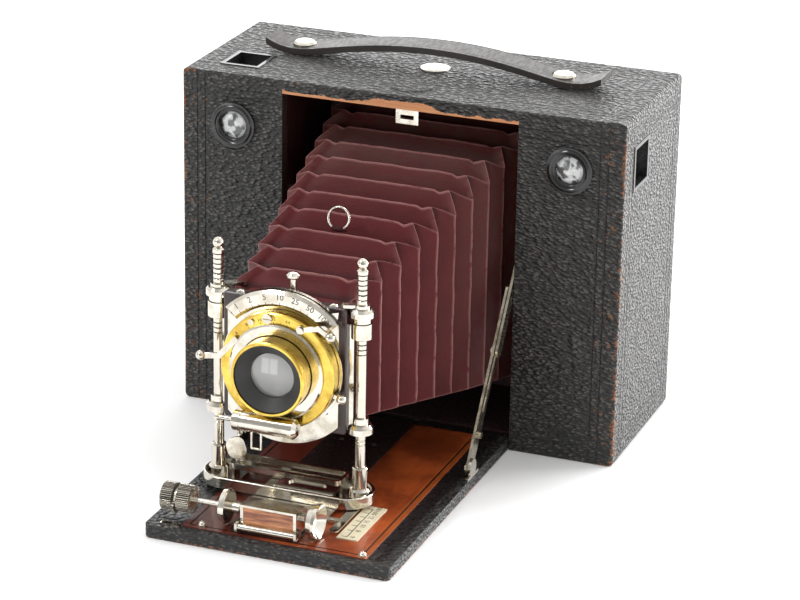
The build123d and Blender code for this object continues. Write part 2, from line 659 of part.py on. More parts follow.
def clamp_frame():
    """Narrow bent frame standing on the ring, that pinches the cross guide."""
    x0, x1, y0, y1 = -38.0, 15.4, -149.0, -136.0
    top = plate_z(Rectangle(x1 - x0, y1 - y0), 17.2, 19.6, (x0 + x1) / 2, (y0 + y1) / 2)
    top = fillet(top.edges().filter_by(Axis.Z), 3.0)
    hole = RectangleRounded(x1 - x0 - 3.0, y1 - y0 - 3.0, 1.4)
    top -= plate_z(hole, 16, 21, (x0 + x1) / 2, (y0 + y1) / 2)
    for x in (x0 + 0.1, x1 - 1.3):
        top += block(x, x + 1.2, y0 + 3.2, y1 - 3.2, RING_FLOOR, 17.4)
    return top


def slide_lock_tab():
    """Thumb leaf standing on a little lug at the left end of the clamp frame."""
    leaf = Pos(0, 6.4) * RectangleRounded(8.4, 9.6, 3.4) + Pos(0, 1.2) * Rectangle(4.0, 3.2)
    blade = Rot(90, 0, 0) * extrude(leaf, 1.0)
    leaf_at = Pos(-33.6, -145.4, 20.2) * Rot(0, -20, 0) * Rot(0, 0, 20)
    return leaf_at * blade + rod_y(0.8, -148.0, -143.0, -33.6, 20.5)


def board_runner(x, inward):
    """Slotted collar, spring strap and clamp block that slide on one post."""
    bore = POST_R + RUN
    low = [(bore, 42), (5.6, 42), (5.6, 44.6), (4.6, 46), (3.6, 46), (3.6, 49), (bore, 49)]
    high = [(bore, 86.5), (4.75, 86.5), (4.75, 93.5), (bore, 93.5)]
    strap_x = sorted((x + inward * 2.75, AXIS_X - inward * BOARD_HALF))
    runner = turned_z(low, x, POST_Y) + turned_z(high, x, POST_Y)
    runner += block(*strap_x, POST_Y - 2.2, POST_Y + 0.5, 43, 92.5)
    return runner


def lever_nut(x, lever_angle, lever_len):
    bore = POST_R + RUN
    profile = [(bore, 93.8), (4.2, 93.8), (4.2, 96.5), (5.6, 96.5), (5.6, 99.0), (4.6, 100.2), (3.6, 100.2),
               (3.6, 101.8), (bore, 101.8)]
    lever = Pos(lever_len / 2, 0) * SlotOverall(lever_len, 3.6)
    handle = Pos(x, POST_Y, 100.4) * Rot(0, 0, lever_angle) * extrude(lever, 1.4)
    handle -= rod_z(3.0, 90, 105, x, POST_Y)
    return turned_z(profile, x, POST_Y) + handle


def lens_board():
    board = block(AXIS_X - BOARD_HALF, AXIS_X + BOARD_HALF, BOARD_Y0, BOARD_Y1, BOARD_Z0, BOARD_Z1)
    board = fillet(board.edges().filter_by(Axis.Y), 1.2)
    board = chamfer(board.faces().sort_by(Axis.Y)[0].edges(), 0.5)
    for x in POST_X:
        board -= rod_z(5.7, BOARD_Z0 - 1, 49.3, x, POST_Y)
        board -= rod_z(4.85, 86.2, 94.6, x, POST_Y)
        board -= rod_z(5.7, 94.6, BOARD_Z1 + 1, x, POST_Y)
    board -= rod_y(15, BOARD_Y0 - 1, BOARD_Y1 + 1, AXIS_X, AXIS_Z)
    for x in (AXIS_X - 22, AXIS_X + 22):
        board -= rod_z(0.8, BOARD_Z1 - 5, BOARD_Z1 + 1, x, BOARD_Y0 + 2.5)
    return board - rod_z(1.2, BOARD_Z1 - 4, BOARD_Z1 + 1, PEG_X, BOARD_Y0 + 2.5)


def board_screws():
    screws = []
    for x in (AXIS_X - 22, AXIS_X + 22):
        profile = [(0, BOARD_Z1 - 4), (0.8, BOARD_Z1 - 4), (0.8, BOARD_Z1), (2.0, BOARD_Z1),
                   (1.6, BOARD_Z1 + 0.8), (0, BOARD_Z1 + 1.0)]
        screws.append(turned_z(profile, x, BOARD_Y0 + 2.5))
    return screws


def board_peg():
    """Mushroom-headed peg that is pulled to raise the board."""
    z = BOARD_Z1
    profile = [(0, z - 3.5), (1.2, z - 3.5), (1.2, z), (1.7, z), (1.4, z + 9.5), (3.0, z + 10.6),
               (3.0, z + 11.4), (1.8, z + 12.6), (0, z + 12.8)]
    return turned_z(profile, PEG_X, BOARD_Y0 + 2.5)


# ------------------------------------------------------------------ shutter and lens
def polar(r, angle):
    return r * cos(radians(angle)), r * sin(radians(angle))


def shutter_plate():
    outline = Circle(PLATE_R) & Rectangle(2 * PLATE_X, 2 * PLATE_R)
    outline -= Circle(13)
    outline -= Pos(20.5, -18.5) * Circle(1.1)
    return plate_y(outline, PLATE_Y0, BOARD_Y0, AXIS_X, AXIS_Z)


def sector(r_in, r_out, a0, a1):
    """Flat ring segment between two angles."""
    outer = CenterArc((0, 0), r_out, a0, a1 - a0)
    inner = CenterArc((0, 0), r_in, a0, a1 - a0)
    return make_face([outer, inner, Line(outer @ 0, inner @ 0), Line(outer @ 1, inner @ 1)])


def speed_arc():
    """Raised arc over the top of the shutter that carries the speed marks, on two feet."""
    front = PLATE_Y0 - 3.8
    arc = plate_y(sector(28.6, PLATE_R, 42, 137), front, PLATE_Y0 - 1.2, AXIS_X, AXIS_Z)
    arc = chamfer(arc.faces().sort_by(Axis.Y)[0].edges(), 1.4)
    for start in (42, 134.5):
        arc += plate_y(sector(30, PLATE_R, start, start + 2.5), PLATE_Y0 - 1.5, PLATE_Y0, AXIS_X, AXIS_Z)
    return arc


def shutter_case():
    back = PLATE_Y0
    profile = [(17.0, CASE_Y0), (CASE_R - 0.6, CASE_Y0), (CASE_R, CASE_Y0 + 0.6), (CASE_R, back),
               (24.6, back), (24.6, CASE_Y0 + 1.6), (17.0, CASE_Y0 + 1.6)]
    case = turned_y(profile, AXIS_X, AXIS_Z)
    inner = plate_y(Circle(17.0) - Circle(7.0), CASE_Y0 + 0.8, CASE_Y0 + 1.6, AXIS_X, AXIS_Z)
    case += inner
    case += rod_y(0.8, CASE_Y0 + 1.2, back, AXIS_X, AXIS_Z + BLADE_PIVOT)
    slot = plate_y(sector(22, 30, -36, -14), CASE_Y0 + 2.4, CASE_Y0 + 5.0, AXIS_X, AXIS_Z)
    return case - slot


def aperture_ring():
    ring = turned_y([(17.5, CASE_Y0 - 0.2), (22, CASE_Y0 - 0.2), (22, CASE_Y0 - 1.2), (21.2, CASE_Y0 - 1.8),
                     (17.5, CASE_Y0 - 1.8)], AXIS_X, AXIS_Z)
    x, z = polar(35.8, 176)
    arm = Pos(-30.6, 3.0) * Rot(0, 0, 9) * Rectangle(9.0, 2.4)
    arm += Pos(-22.6, 8.4) * Rot(0, 0, 48) * Rectangle(12.5, 2.6)
    ring += plate_y(arm, CASE_Y0 - 1.5, CASE_Y0 - 0.3, AXIS_X, AXIS_Z)
    return ring + ball(2.2, AXIS_X + x, CASE_Y0 - 1.2, AXIS_Z + z)


def shutter_screws():
    """Slotted boss and small screw on the case front, above the ring."""
    boss = rod_y(2.2, CASE_Y0 - 1.6, CASE_Y0, AXIS_X - 4.2, AXIS_Z + 24.3)
    boss -= block(AXIS_X - 7, AXIS_X - 1, CASE_Y0 - 3, CASE_Y0 - 1.2, AXIS_Z + 24.0, AXIS_Z + 24.6)
    small = rod_y(1.3, CASE_Y0 - 0.9, CASE_Y0, AXIS_X - 12, AXIS_Z + 21.3)
    return [boss, small]


def speed_pointer():
    """Thin ring round the case whose pointer runs behind the arc and shows outside it."""
    y0, y1 = PLATE_Y0 - 0.9, PLATE_Y0 - GAP
    ring = turned_y([(27.0, y0), (28.3, y0), (28.3, y1), (27.0, y1)], AXIS_X, AXIS_Z)
    arm = Pos(32, 0) * Rectangle(9.0, 2.4)
    tip = make_face(Polyline((36.2, -2.2), (36.2, 2.2), (39.4, 0.0), close=True))
    return ring + plate_y(Rot(0, 0, 48) * (arm + tip), y0, y1, AXIS_X, AXIS_Z)


def release_lever():
    """Trip lever on the case front: a bent arm ending in a ball, pressed down."""
    pivot, bend, knob = (RELEASE_X, RELEASE_Z), (20.0, 23.2), (25.2, 19.8)
    arm = plate_y(bar_outline(pivot, bend, 2.2) + bar_outline(bend, knob, 2.2), CASE_Y0 - 1.3, CASE_Y0 - 0.3,
                  AXIS_X, AXIS_Z)
    arm += rod_y(1.9, CASE_Y0 - 1.3, CASE_Y0 - 0.3, AXIS_X + pivot[0], AXIS_Z + pivot[1])
    arm -= rod_y(0.8 + RUN, CASE_Y0 - 2, CASE_Y0, AXIS_X + pivot[0], AXIS_Z + pivot[1])
    return arm + ball(2.3, AXIS_X + knob[0], CASE_Y0 - 0.8, AXIS_Z + knob[1])


def bar_outline(a, b, width):
    """Round-ended strip between two points of a sketch."""
    length = hypot(b[0] - a[0], b[1] - a[1])
    angle = degrees(atan2(b[1] - a[1], b[0] - a[0]))
    middle = Pos((a[0] + b[0]) / 2, (a[1] + b[1]) / 2)
    return middle * Rot(0, 0, angle) * SlotOverall(length + width, width)


def release_pivot():
    x, z = AXIS_X + RELEASE_X, AXIS_Z + RELEASE_Z
    pin = rod_y(0.8, CASE_Y0 - 1.6, CASE_Y0, x, z)
    return pin + rod_y(1.5, CASE_Y0 - 2.2, CASE_Y0 - 1.6, x, z)


def setting_lever():
    """Lower lever whose arm comes out of the slot in the case wall."""
    knob = polar(30.6, -18.6)
    arm = plate_y(Rot(0, 0, -18.6) * Pos(25, 0) * Rectangle(9.0, 1.8), -152.2, -151.0, AXIS_X, AXIS_Z)
    return arm + ball(2.2, AXIS_X + knob[0], -151.6, AXIS_Z + knob[1])


def shutter_blade(side):
    """Half-disc blade hanging from the pivot pin above the lens."""
    y0 = -152.9 if side < 0 else -150.6
    half = Circle(8.6) & (Pos(side * 3.9, 0) * Rectangle(9.4, 20))
    arm = Pos(side * 2.0, 10.5) * Rectangle(3.6, 12)
    eye = Pos(0, BLADE_PIVOT) * Circle(2.4)
    outline = half + arm + eye
    blade = plate_y(outline, y0, y0 + 0.4, AXIS_X, AXIS_Z)
    return blade - rod_y(0.8 + RUN, y0 - 1, y0 + 1, AXIS_X, AXIS_Z + BLADE_PIVOT)


def lens_barrel():
    y = BARREL_Y0
    profile = [(9.0, CASE_Y0), (BARREL_R - 0.1, CASE_Y0), (BARREL_R - 0.1, y + 4.5), (BARREL_R, y + 4.0),
               (BARREL_R, y + 0.5), (BARREL_R - 0.5, y), (BARREL_R - 1.4, y), (BARREL_R - 1.6, y + 6.2),
               (GLASS_R, y + 6.2), (GLASS_R, y + 9.0), (9.0, y + 9.0)]
    return turned_y(profile, AXIS_X, AXIS_Z)


def lens_hood():
    """Blackened cone between the barrel rim and the front glass."""
    y = BARREL_Y0
    profile = [(BARREL_R - 1.6, y + 0.9), (BARREL_R - 1.6, y + 6.2), (GLASS_R - 0.4, y + 6.2),
               (GLASS_R - 0.4, y + 5.6), (BARREL_R - 2.0, y + 0.9)]
    return turned_y(profile, AXIS_X, AXIS_Z)


def lens_glass(radius, y_mid, thick, bulge):
    """Biconvex lens about the optical axis."""
    half = thick / 2
    edge_front, edge_back = (radius, y_mid - half), (radius, y_mid + half)
    front = ThreePointArc((0, y_mid - half - bulge), (radius / 2, y_mid - half - bulge * 0.75), edge_front)
    back = ThreePointArc((0, y_mid + half + bulge), (radius / 2, y_mid + half + bulge * 0.75), edge_back)
    sides = [Line(edge_front, edge_back), Line(front @ 0, back @ 0)]
    face = make_face([front, back] + sides)
    return Pos(AXIS_X, 0, AXIS_Z) * Rot(-90, 0, 0) * revolve(Rot(90, 0, 0) * face, Axis.Z)


def rear_cell():
    """Brass cell that screws through the board and holds the rear glass."""
    y = BOARD_Y1
    profile = [(11.0, BOARD_Y0), (13.0, BOARD_Y0), (13.0, y), (17.5, y), (17.5, y + 2.0), (14.0, y + 2.0),
               (14.0, y + 7.0), (10.0, y + 7.0), (10.0, y + 3.0), (11.0, y + 3.0)]
    return turned_y(profile, AXIS_X, AXIS_Z)


def air_cylinder():
    """Pneumatic release cylinder with its end caps, nipple and two mounting lugs."""
    profile = [(0, -39.0), (1.1, -39.0), (1.5, -37.4), (1.1, -36.6), (1.1, -31.0), (2.6, -30.4), (4.6, -29.2),
               (4.6, CYL_X0), (CYL_R, CYL_X0), (CYL_R, CYL_X1 - 1), (4.5, CYL_X1 - 1), (4.5, CYL_X1),
               (2.8, CYL_X1 + 1.6), (0, CYL_X1 + 2.0)]
    cylinder = turned_x(profile, CYL_Y, CYL_Z)
    for x in (-21, -6):
        cylinder += block(x - 1.5, x + 1.5, CYL_Y, CASE_Y0, CYL_Z - 1.5, CYL_Z + 0.6)
    return cylinder - rod_x(3.4, CYL_X0 - 1, CYL_X1 - 0.8, CYL_Y, CYL_Z)


def air_piston():
    piston = rod_x(3.35, -24.0, -16.5, CYL_Y, CYL_Z) + rod_x(0.8, -16.5, -10.0, CYL_Y, CYL_Z)
    return piston


def trip_wire():
    """Bent wire stirrup under the cylinder."""
    y, z0, z1 = CYL_Y + 0.4, CYL_Z - 12.5, CYL_Z - CYL_R
    wire = rod_z(0.5, z0, z1 + 0.3, -21.5, y) + rod_z(0.5, z0, z1 + 0.3, -17.0, y)
    wire += rod_x(0.5, -21.5, -17.0, y, z0)
    return wire - rod_x(CYL_R, -30, 0, CYL_Y, CYL_Z)


# ------------------------------------------------------------------ bellows
def bellows():
    """Tapered leather tube from the lens board back to the frame at the film gate."""
    front_y, rear_y = BOARD_Y1 + 0.4, GATE_Y0 - 2.4

    def tube(front_size, rear_size):
        front = Pos(AXIS_X, front_y, 70.5) * Rot(90, 0, 0) * Rectangle(*front_size)
        rear = Pos(0, rear_y, 82.7) * Rot(90, 0, 0) * Rectangle(*rear_size)
        return loft([front, rear])

    return tube((54, 54), (106, 140)) - tube((50, 50), (102, 136))


def bellows_ring():
    """Wire ring lying on the third fold, for hooking the folded bellows."""
    return Pos(-5.8, -101.0, 124.0) * Rot(76, 0, 0) * Torus(5.0, 0.55)


# ------------------------------------------------------------------ write every node
def write_body():
    save("body_shell", *body_boards())
    save("inner_frame", *side_partitions(), *film_gate(), *bellows_frame())
    save("winding_key", winding_key())
    save("supply_spool", spool(-1))
    save("takeup_spool", spool(1))
    for name, side in SIDES.items():
        save(f"film_roller_{name}", film_roller(side))
    save("finder_frames", *[finder_bezel(side) for side in SIDES.values()], *finder_frames())
    save("finder_glasses", *[finder_lens(side) for side in SIDES.values()], *finder_screens())
    save("finder_mirrors", *[finder_mirror(side) for side in SIDES.values()])
    save("tripod_bushes", bottom_bush(), side_bush())
    save("handle_strap", handle_strap())
    save("strap_screws", *[strap_screw(side) for side in SIDES.values()])
    save("bed_release_button", bed_release_button())
    save("bed_catch", bed_catch())
    save("back_release_button", back_release_button())
    save("back_cover", back_cover())
    save("back_fittings", film_pressure_pad(), ruby_screw())
    save("ruby_window", ruby_window())
    save("ruby_cover", ruby_cover())
    save("pivot_pins", hinge_pin(), *[strut_pivot(side) for side in SIDES.values()], *spool_pins())


def write_bed():
    save("bed_board", bed_board())
    save("bed_panel", bed_panel())
    save("track_plate", track_plate())
    save("scale_card", scale_card())
    feet = [strut_foot(side) for side in SIDES.values()]
    save("bed_fittings", *bed_pins(), bed_strike(), *track_screws(), *feet)
    for name, side in SIDES.items():
        save(f"strut_lower_{name}", strut_lower(side))
        save(f"strut_upper_{name}", strut_upper(side))


def write_carriage():
    save("carriage_base", track_runner(), cross_guide(), scale_pointer())
    save("clamp_box", clamp_box(), clamp_roller())
    save("wood_insert", wood_insert())
    save("clamp_shaft", clamp_shaft(), clamp_knob())
    save("focus_lock", lock_knob(), lock_lever())
    save("finger_disc_left", finger_disc_left())
    save("finger_disc_right", finger_disc_right())


def write_standard():
    save("base_ring", base_ring(), clamp_frame())
    save("posts", *[post(x) for x in POST_X])
    save("slide_lock_tab", slide_lock_tab())
    save("board_runners", board_runner(POST_X[0], 1), board_runner(POST_X[1], -1))
    save("lever_nut_left", lever_nut(POST_X[0], 35, 13))
    save("lever_nut_right", lever_nut(POST_X[1], 200, 9))
    save("lens_board", lens_board())
    save("board_fittings", *board_screws(), board_peg())
    save("bellows", bellows(), bellows_ring())


def write_shutter():
    save("shutter_plate", shutter_plate(), speed_arc())
    save("shutter_case", shutter_case())
    save("shutter_fittings", *shutter_screws(), release_pivot(), trip_wire())
    save("aperture_ring", aperture_ring())
    save("speed_pointer", speed_pointer())
    save("release_lever", release_lever())
    save("setting_lever", setting_lever())
    save("shutter_blade_left", shutter_blade(-1))
    save("shutter_blade_right", shutter_blade(1))
    save("air_cylinder", air_cylinder())
    save("air_piston", air_piston())
    save("lens_barrels", lens_barrel(), lens_hood(), rear_cell())
    front_glass = lens_glass(GLASS_R, BARREL_Y0 + 7.4, 1.6, 1.2)
    rear_glass = lens_glass(10.0, BOARD_Y1 + 5.0, 1.6, 0.8)
    save("lens_glasses", front_glass, rear_glass)


write_body()
write_bed()
write_carriage()
write_standard()
write_shutter()
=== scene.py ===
"""Looks of the folding roll-film camera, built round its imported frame. Lengths are in metres."""
from math import cos, exp, pi, radians, sin

import bpy
import numpy as np
from mathutils import Matrix, Vector


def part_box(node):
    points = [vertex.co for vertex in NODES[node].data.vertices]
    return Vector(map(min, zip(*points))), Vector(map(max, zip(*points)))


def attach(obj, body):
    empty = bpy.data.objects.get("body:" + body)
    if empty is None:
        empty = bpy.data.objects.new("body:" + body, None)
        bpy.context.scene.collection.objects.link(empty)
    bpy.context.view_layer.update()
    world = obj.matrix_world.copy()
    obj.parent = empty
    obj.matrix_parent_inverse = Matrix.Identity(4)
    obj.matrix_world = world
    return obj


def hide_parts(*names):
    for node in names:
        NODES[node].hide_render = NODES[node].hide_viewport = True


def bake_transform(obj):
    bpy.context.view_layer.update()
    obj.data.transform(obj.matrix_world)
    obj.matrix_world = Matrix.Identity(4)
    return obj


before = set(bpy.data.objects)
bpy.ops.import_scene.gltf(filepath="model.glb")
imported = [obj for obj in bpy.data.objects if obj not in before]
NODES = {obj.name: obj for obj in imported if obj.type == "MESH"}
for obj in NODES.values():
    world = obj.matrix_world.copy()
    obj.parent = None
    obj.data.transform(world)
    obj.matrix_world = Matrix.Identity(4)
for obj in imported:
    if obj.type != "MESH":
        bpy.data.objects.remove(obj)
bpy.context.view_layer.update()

MM = 0.001

# ------------------------------------------------------------------ places read from the frame
BODY_LOW, BODY_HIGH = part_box("body_shell")
BACK_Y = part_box("back_cover")[1].y
HALF_WIDTH = BODY_HIGH.x
HALF_DEPTH = (BACK_Y - BODY_LOW.y) / 2
HALF_HEIGHT = BODY_HIGH.z / 2
BOARD_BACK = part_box("lens_board")[1].y
CASE_LOW, CASE_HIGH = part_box("shutter_case")
AXIS_X = (CASE_LOW.x + CASE_HIGH.x) / 2
AXIS_Z = (CASE_LOW.z + CASE_HIGH.z) / 2
WALL = 6.4 * MM                        # thickness of the body's boards
OPENING_X = 57.6 * MM                  # half width of the opening in the front
OPENING_TOP = BODY_HIGH.z - WALL
FINDER_X, FINDER_Z = 82.2 * MM, 140.8 * MM

# ------------------------------------------------------------------ view
VIEW_AZIMUTH, VIEW_ELEVATION, VIEW_ROLL = 20.74, 20.79, 1.06
VIEW_DISTANCE = 1.436
VIEW_TARGET = Vector((0.0165, -0.0815, 0.0819))
FOCAL_LENGTH = 143.4


def make_camera():
    azimuth, elevation = radians(VIEW_AZIMUTH), radians(VIEW_ELEVATION)
    back = Vector((sin(azimuth) * cos(elevation), -cos(azimuth) * cos(elevation), sin(elevation)))
    turn = back.to_track_quat("Z", "Y").to_matrix().to_4x4()
    camera = bpy.data.objects.new("camera", bpy.data.cameras.new("camera"))
    camera.data.lens = FOCAL_LENGTH
    camera.data.clip_end = 20
    camera.matrix_world = Matrix.Translation(VIEW_TARGET + back * VIEW_DISTANCE) @ turn
    camera.matrix_world = camera.matrix_world @ Matrix.Rotation(radians(VIEW_ROLL), 4, "Z")
    bpy.context.scene.collection.objects.link(camera)
    bpy.context.scene.camera = camera


def soft_light(name, place, aim, size, power):
    light = bpy.data.lights.new(name, "AREA")
    light.shape = "RECTANGLE"
    light.size, light.size_y = size
    light.energy = power
    lamp = bpy.data.objects.new(name, light)
    bpy.context.scene.collection.objects.link(lamp)
    toward = Vector(place) - Vector(aim)
    lamp.matrix_world = Matrix.Translation(place) @ toward.to_track_quat("Z", "Y").to_matrix().to_4x4()


# ------------------------------------------------------------------ node materials
class Look:
    """A node material, with short calls for the nodes that the looks share."""

    def __init__(self, name, **shader):
        self.material = bpy.data.materials.new(name)
        self.material.use_nodes = True
        self.tree = self.material.node_tree
        self.shader = self.tree.nodes["Principled BSDF"]
        for words, value in shader.items():
            self.shader.inputs[words.replace("_", " ")].default_value = value
        self.place = self.add("TexCoord").outputs["Object"]
        self.x, self.y, self.z = self.add("SeparateXYZ", Vector=self.place).outputs

    def add(self, kind, settings=None, **sockets):
        node = self.tree.nodes.new("ShaderNode" + kind)
        for key, value in (settings or {}).items():
            setattr(node, key, value)
        for words, value in sockets.items():
            self.feed(node.inputs[words.replace("_", " ")], value)
        return node

    def feed(self, socket, value):
        if isinstance(value, bpy.types.NodeSocket):
            self.tree.links.new(value, socket)
        else:
            socket.default_value = value

    def math(self, operation, *values):
        node = self.add("Math", {"operation": operation})
        for socket, value in zip(node.inputs, values):
            self.feed(socket, value)
        return node.outputs[0]

    def away_from(self, value, place):
        return self.math("ABSOLUTE", self.math("SUBTRACT", value, place))

    def distance(self, across, up):
        squares = self.math("ADD", self.math("MULTIPLY", across, across), self.math("MULTIPLY", up, up))
        return self.math("SQRT", squares)

    def ramp(self, value, start, end, low=0.0, high=1.0):
        """low before start, high after end, and a smooth step between."""
        node = self.add("MapRange", {"interpolation_type": "SMOOTHSTEP"}, Value=value)
        for words, limit in (("From Min", start), ("From Max", end), ("To Min", low), ("To Max", high)):
            self.feed(node.inputs[words], limit)
        return node.outputs[0]

    def scaled(self, factors, place=None):
        node = self.add("VectorMath", {"operation": "MULTIPLY"})
        self.feed(node.inputs[0], place or self.place)
        node.inputs[1].default_value = factors
        return node.outputs[0]

    def noise(self, size, detail=3.0, roughness=0.55, place=None):
        """Noise of 0 to 1 whose blotches are about size metres across."""
        node = self.add("TexNoise", None, Vector=place or self.place, Scale=1 / size, Detail=detail,
                        Roughness=roughness)
        return node.outputs["Fac"]

    def cells(self, size, place=None, feature="F1", **sockets):
        node = self.add("TexVoronoi", {"feature": feature}, Vector=place or self.place, Scale=1 / size,
                        **sockets)
        return node.outputs["Distance"]

    def mix(self, share, first, second):
        node = self.add("Mix", {"data_type": "RGBA"})
        self.feed(node.inputs[0], share)
        for socket, colour in ((node.inputs[6], first), (node.inputs[7], second)):
            self.feed(socket, colour if isinstance(colour, bpy.types.NodeSocket) else (*colour, 1))
        return node.outputs[2]

    def wobbled(self, size, amount):
        """The place, pushed about by noise so that patterns aren't regular."""
        push = self.add("TexNoise", None, Vector=self.place, Scale=1 / size, Detail=2.0).outputs["Color"]
        centred = self.add("VectorMath", {"operation": "SUBTRACT"})
        self.feed(centred.inputs[0], push)
        centred.inputs[1].default_value = (0.5, 0.5, 0.5)
        moved = self.add("VectorMath", {"operation": "MULTIPLY_ADD"})
        self.feed(moved.inputs[0], centred.outputs[0])
        moved.inputs[1].default_value = (amount, amount, amount)
        self.feed(moved.inputs[2], self.place)
        return moved.outputs[0]

    def radius(self):
        """Distance from the optical axis."""
        return self.distance(self.math("SUBTRACT", self.x, AXIS_X), self.math("SUBTRACT", self.z, AXIS_Z))

    def finish(self, colour, rough, height, depth, strength=1.0):
        """Sets the shader's colour and roughness, and a bump whose height of 1 stands depth metres proud."""
        self.feed(self.shader.inputs["Base Color"], colour)
        self.feed(self.shader.inputs["Roughness"], rough)
        bump = self.add("Bump", None, Height=height, Distance=depth, Strength=strength)
        self.tree.links.new(bump.outputs["Normal"], self.shader.inputs["Normal"])
        return self.material


def grain_height(look, size):
    """Pebbled leather: long, slanting rounded cells, with creases between them."""
    place = look.add("Mapping", None, Vector=look.wobbled(9 * MM, 1.5 * MM), Rotation=(0, radians(26), 0),
                     Scale=(0.56, 0.70, 1.15)).outputs[0]
    cell = look.cells(size, place, "SMOOTH_F1", Smoothness=0.15, Randomness=0.85)
    dome = look.math("SUBTRACT", 1.0, look.math("MULTIPLY", look.math("MULTIPLY", cell, cell), 3.0))
    swell = look.noise(size * 1.5, 2.0, 0.5, place)
    fine = look.noise(size / 5, 2.0)
    return look.math("MULTIPLY_ADD", swell, 0.35, look.math("MULTIPLY_ADD", fine, 0.12, dome))


def edge_gap(look):
    """Distance from the nearest outer edge of the body, for a point on one of its faces.

    The distances from its sides, front or back, and top or bottom follow it.
    """
    across = look.math("SUBTRACT", HALF_WIDTH, look.math("ABSOLUTE", look.x))
    along = look.math("SUBTRACT", HALF_DEPTH, look.math("ABSOLUTE", look.y))
    up = look.math("SUBTRACT", HALF_HEIGHT, look.away_from(look.z, HALF_HEIGHT))
    total = look.math("ADD", look.math("ADD", across, along), up)
    largest = look.math("MAXIMUM", look.math("MAXIMUM", across, along), up)
    return look.math("SUBTRACT", total, largest), across, along, up


def tooled_lines(look, gaps):
    """Two pressed lines that follow every edge of the covering."""
    lines = None
    for gap in gaps:
        for inset in (8.0 * MM, 12.0 * MM):
            line = look.ramp(look.away_from(gap, inset), 0.2 * MM, 0.75 * MM, 1.0, 0.0)
            lines = line if lines is None else look.math("MAXIMUM", lines, line)
    return lines


def body_leather():
    """The body's black covering, torn from the bare wood above the opening, and the stained wood inside."""
    look = Look("pebbled_leather", Specular_IOR_Level=0.62)
    edge, *gaps = edge_gap(look)
    away_x = look.math("SUBTRACT", look.math("ABSOLUTE", look.x), OPENING_X)
    away_z = look.math("SUBTRACT", look.z, OPENING_TOP)
    in_front = look.math("LESS_THAN", look.y, BODY_LOW.y + WALL + 0.5 * MM)
    height = grain_height(look, 1.45 * MM)
    lines = tooled_lines(look, gaps)
    blotch = look.noise(9 * MM, 4.0, 0.6)
    flecks = look.noise(1.6 * MM, 3.0, 0.6)
    rubbed = look.math("MULTIPLY", look.ramp(edge, 0.3 * MM, 2.4 * MM, 0.15, 0.0),
                       look.ramp(look.noise(28 * MM, 2.0), 0.36, 0.60))
    stray = look.math("MULTIPLY", look.ramp(gaps[0], 9 * MM, 19 * MM, 0.16, 0.02), in_front)
    level = look.math("ADD", look.math("MULTIPLY_ADD", blotch, 0.45, rubbed),
                      look.math("MULTIPLY_ADD", flecks, 0.6, stray))
    worn = look.ramp(level, 0.77, 0.83)
    tone = look.mix(look.noise(22 * MM, 3.0), (0.006, 0.006, 0.006), (0.015, 0.013, 0.011))
    # Pebble tops painted lighter than the creases: painted highlight on the grain and painted shade in its
    # creases.
    tone = look.mix(look.ramp(height, 0.72, 1.10), tone, (0.078, 0.071, 0.062))
    tone = look.mix(look.math("MULTIPLY", lines, 0.7), tone, (0.006, 0.006, 0.006))
    tone = look.mix(worn, tone, look.mix(flecks, (0.05, 0.020, 0.010), (0.30, 0.115, 0.042)))

    middle = look.ramp(look.away_from(look.x, 1 * MM), 12 * MM, 20 * MM, 2.2 * MM, 0.0)
    ragged = look.math("MULTIPLY_ADD", look.noise(7 * MM, 4.0, 0.65), 4.6 * MM, -0.9 * MM)
    torn = look.math("ADD", ragged, middle)
    under_top = look.math("MULTIPLY", look.math("LESS_THAN", away_x, 0.0), in_front)
    bare = look.math("MULTIPLY", look.math("LESS_THAN", away_z, torn), under_top)
    plank = look.noise(1.2 * MM, 4.0, 0.65, look.scaled((0.08, 1, 1)))
    wood = look.mix(plank, (0.70, 0.34, 0.14), (0.36, 0.10, 0.03))
    tone = look.mix(bare, tone, wood)
    lip = look.math("MULTIPLY", under_top, look.math("LESS_THAN", look.math("ABSOLUTE", away_z), 0.05 * MM))
    deep = look.math("GREATER_THAN", look.math("MINIMUM", look.math("MINIMUM", *gaps[:2]), gaps[2]), 5.8 * MM)
    at_opening = look.math("LESS_THAN", look.math("MAXIMUM", away_x, away_z), 0.03 * MM)
    inside = look.math("MAXIMUM", deep, look.math("MULTIPLY", at_opening, in_front))
    grain = look.noise(3 * MM, 4.0, 0.6, look.scaled((1, 1, 0.15)))
    stain = look.mix(grain, (0.010, 0.004, 0.003), (0.045, 0.011, 0.007))
    stain = look.mix(lip, stain, look.mix(plank, (0.42, 0.10, 0.02), (0.16, 0.03, 0.008)))
    tone = look.mix(inside, tone, stain)
    shape = look.math("SUBTRACT", height, look.math("MULTIPLY", lines, 1.5))
    uncovered = look.math("MAXIMUM", inside, bare)
    shape = look.math("MULTIPLY", shape, look.math("MULTIPLY_ADD", uncovered, -0.9, 1.0))
    rough = look.ramp(height, 0.6, 1.15, 0.55, 0.27)
    rough = look.math("MULTIPLY_ADD", look.math("MAXIMUM", worn, inside), 0.25, rough)
    return look.finish(tone, rough, shape, 0.50 * MM)


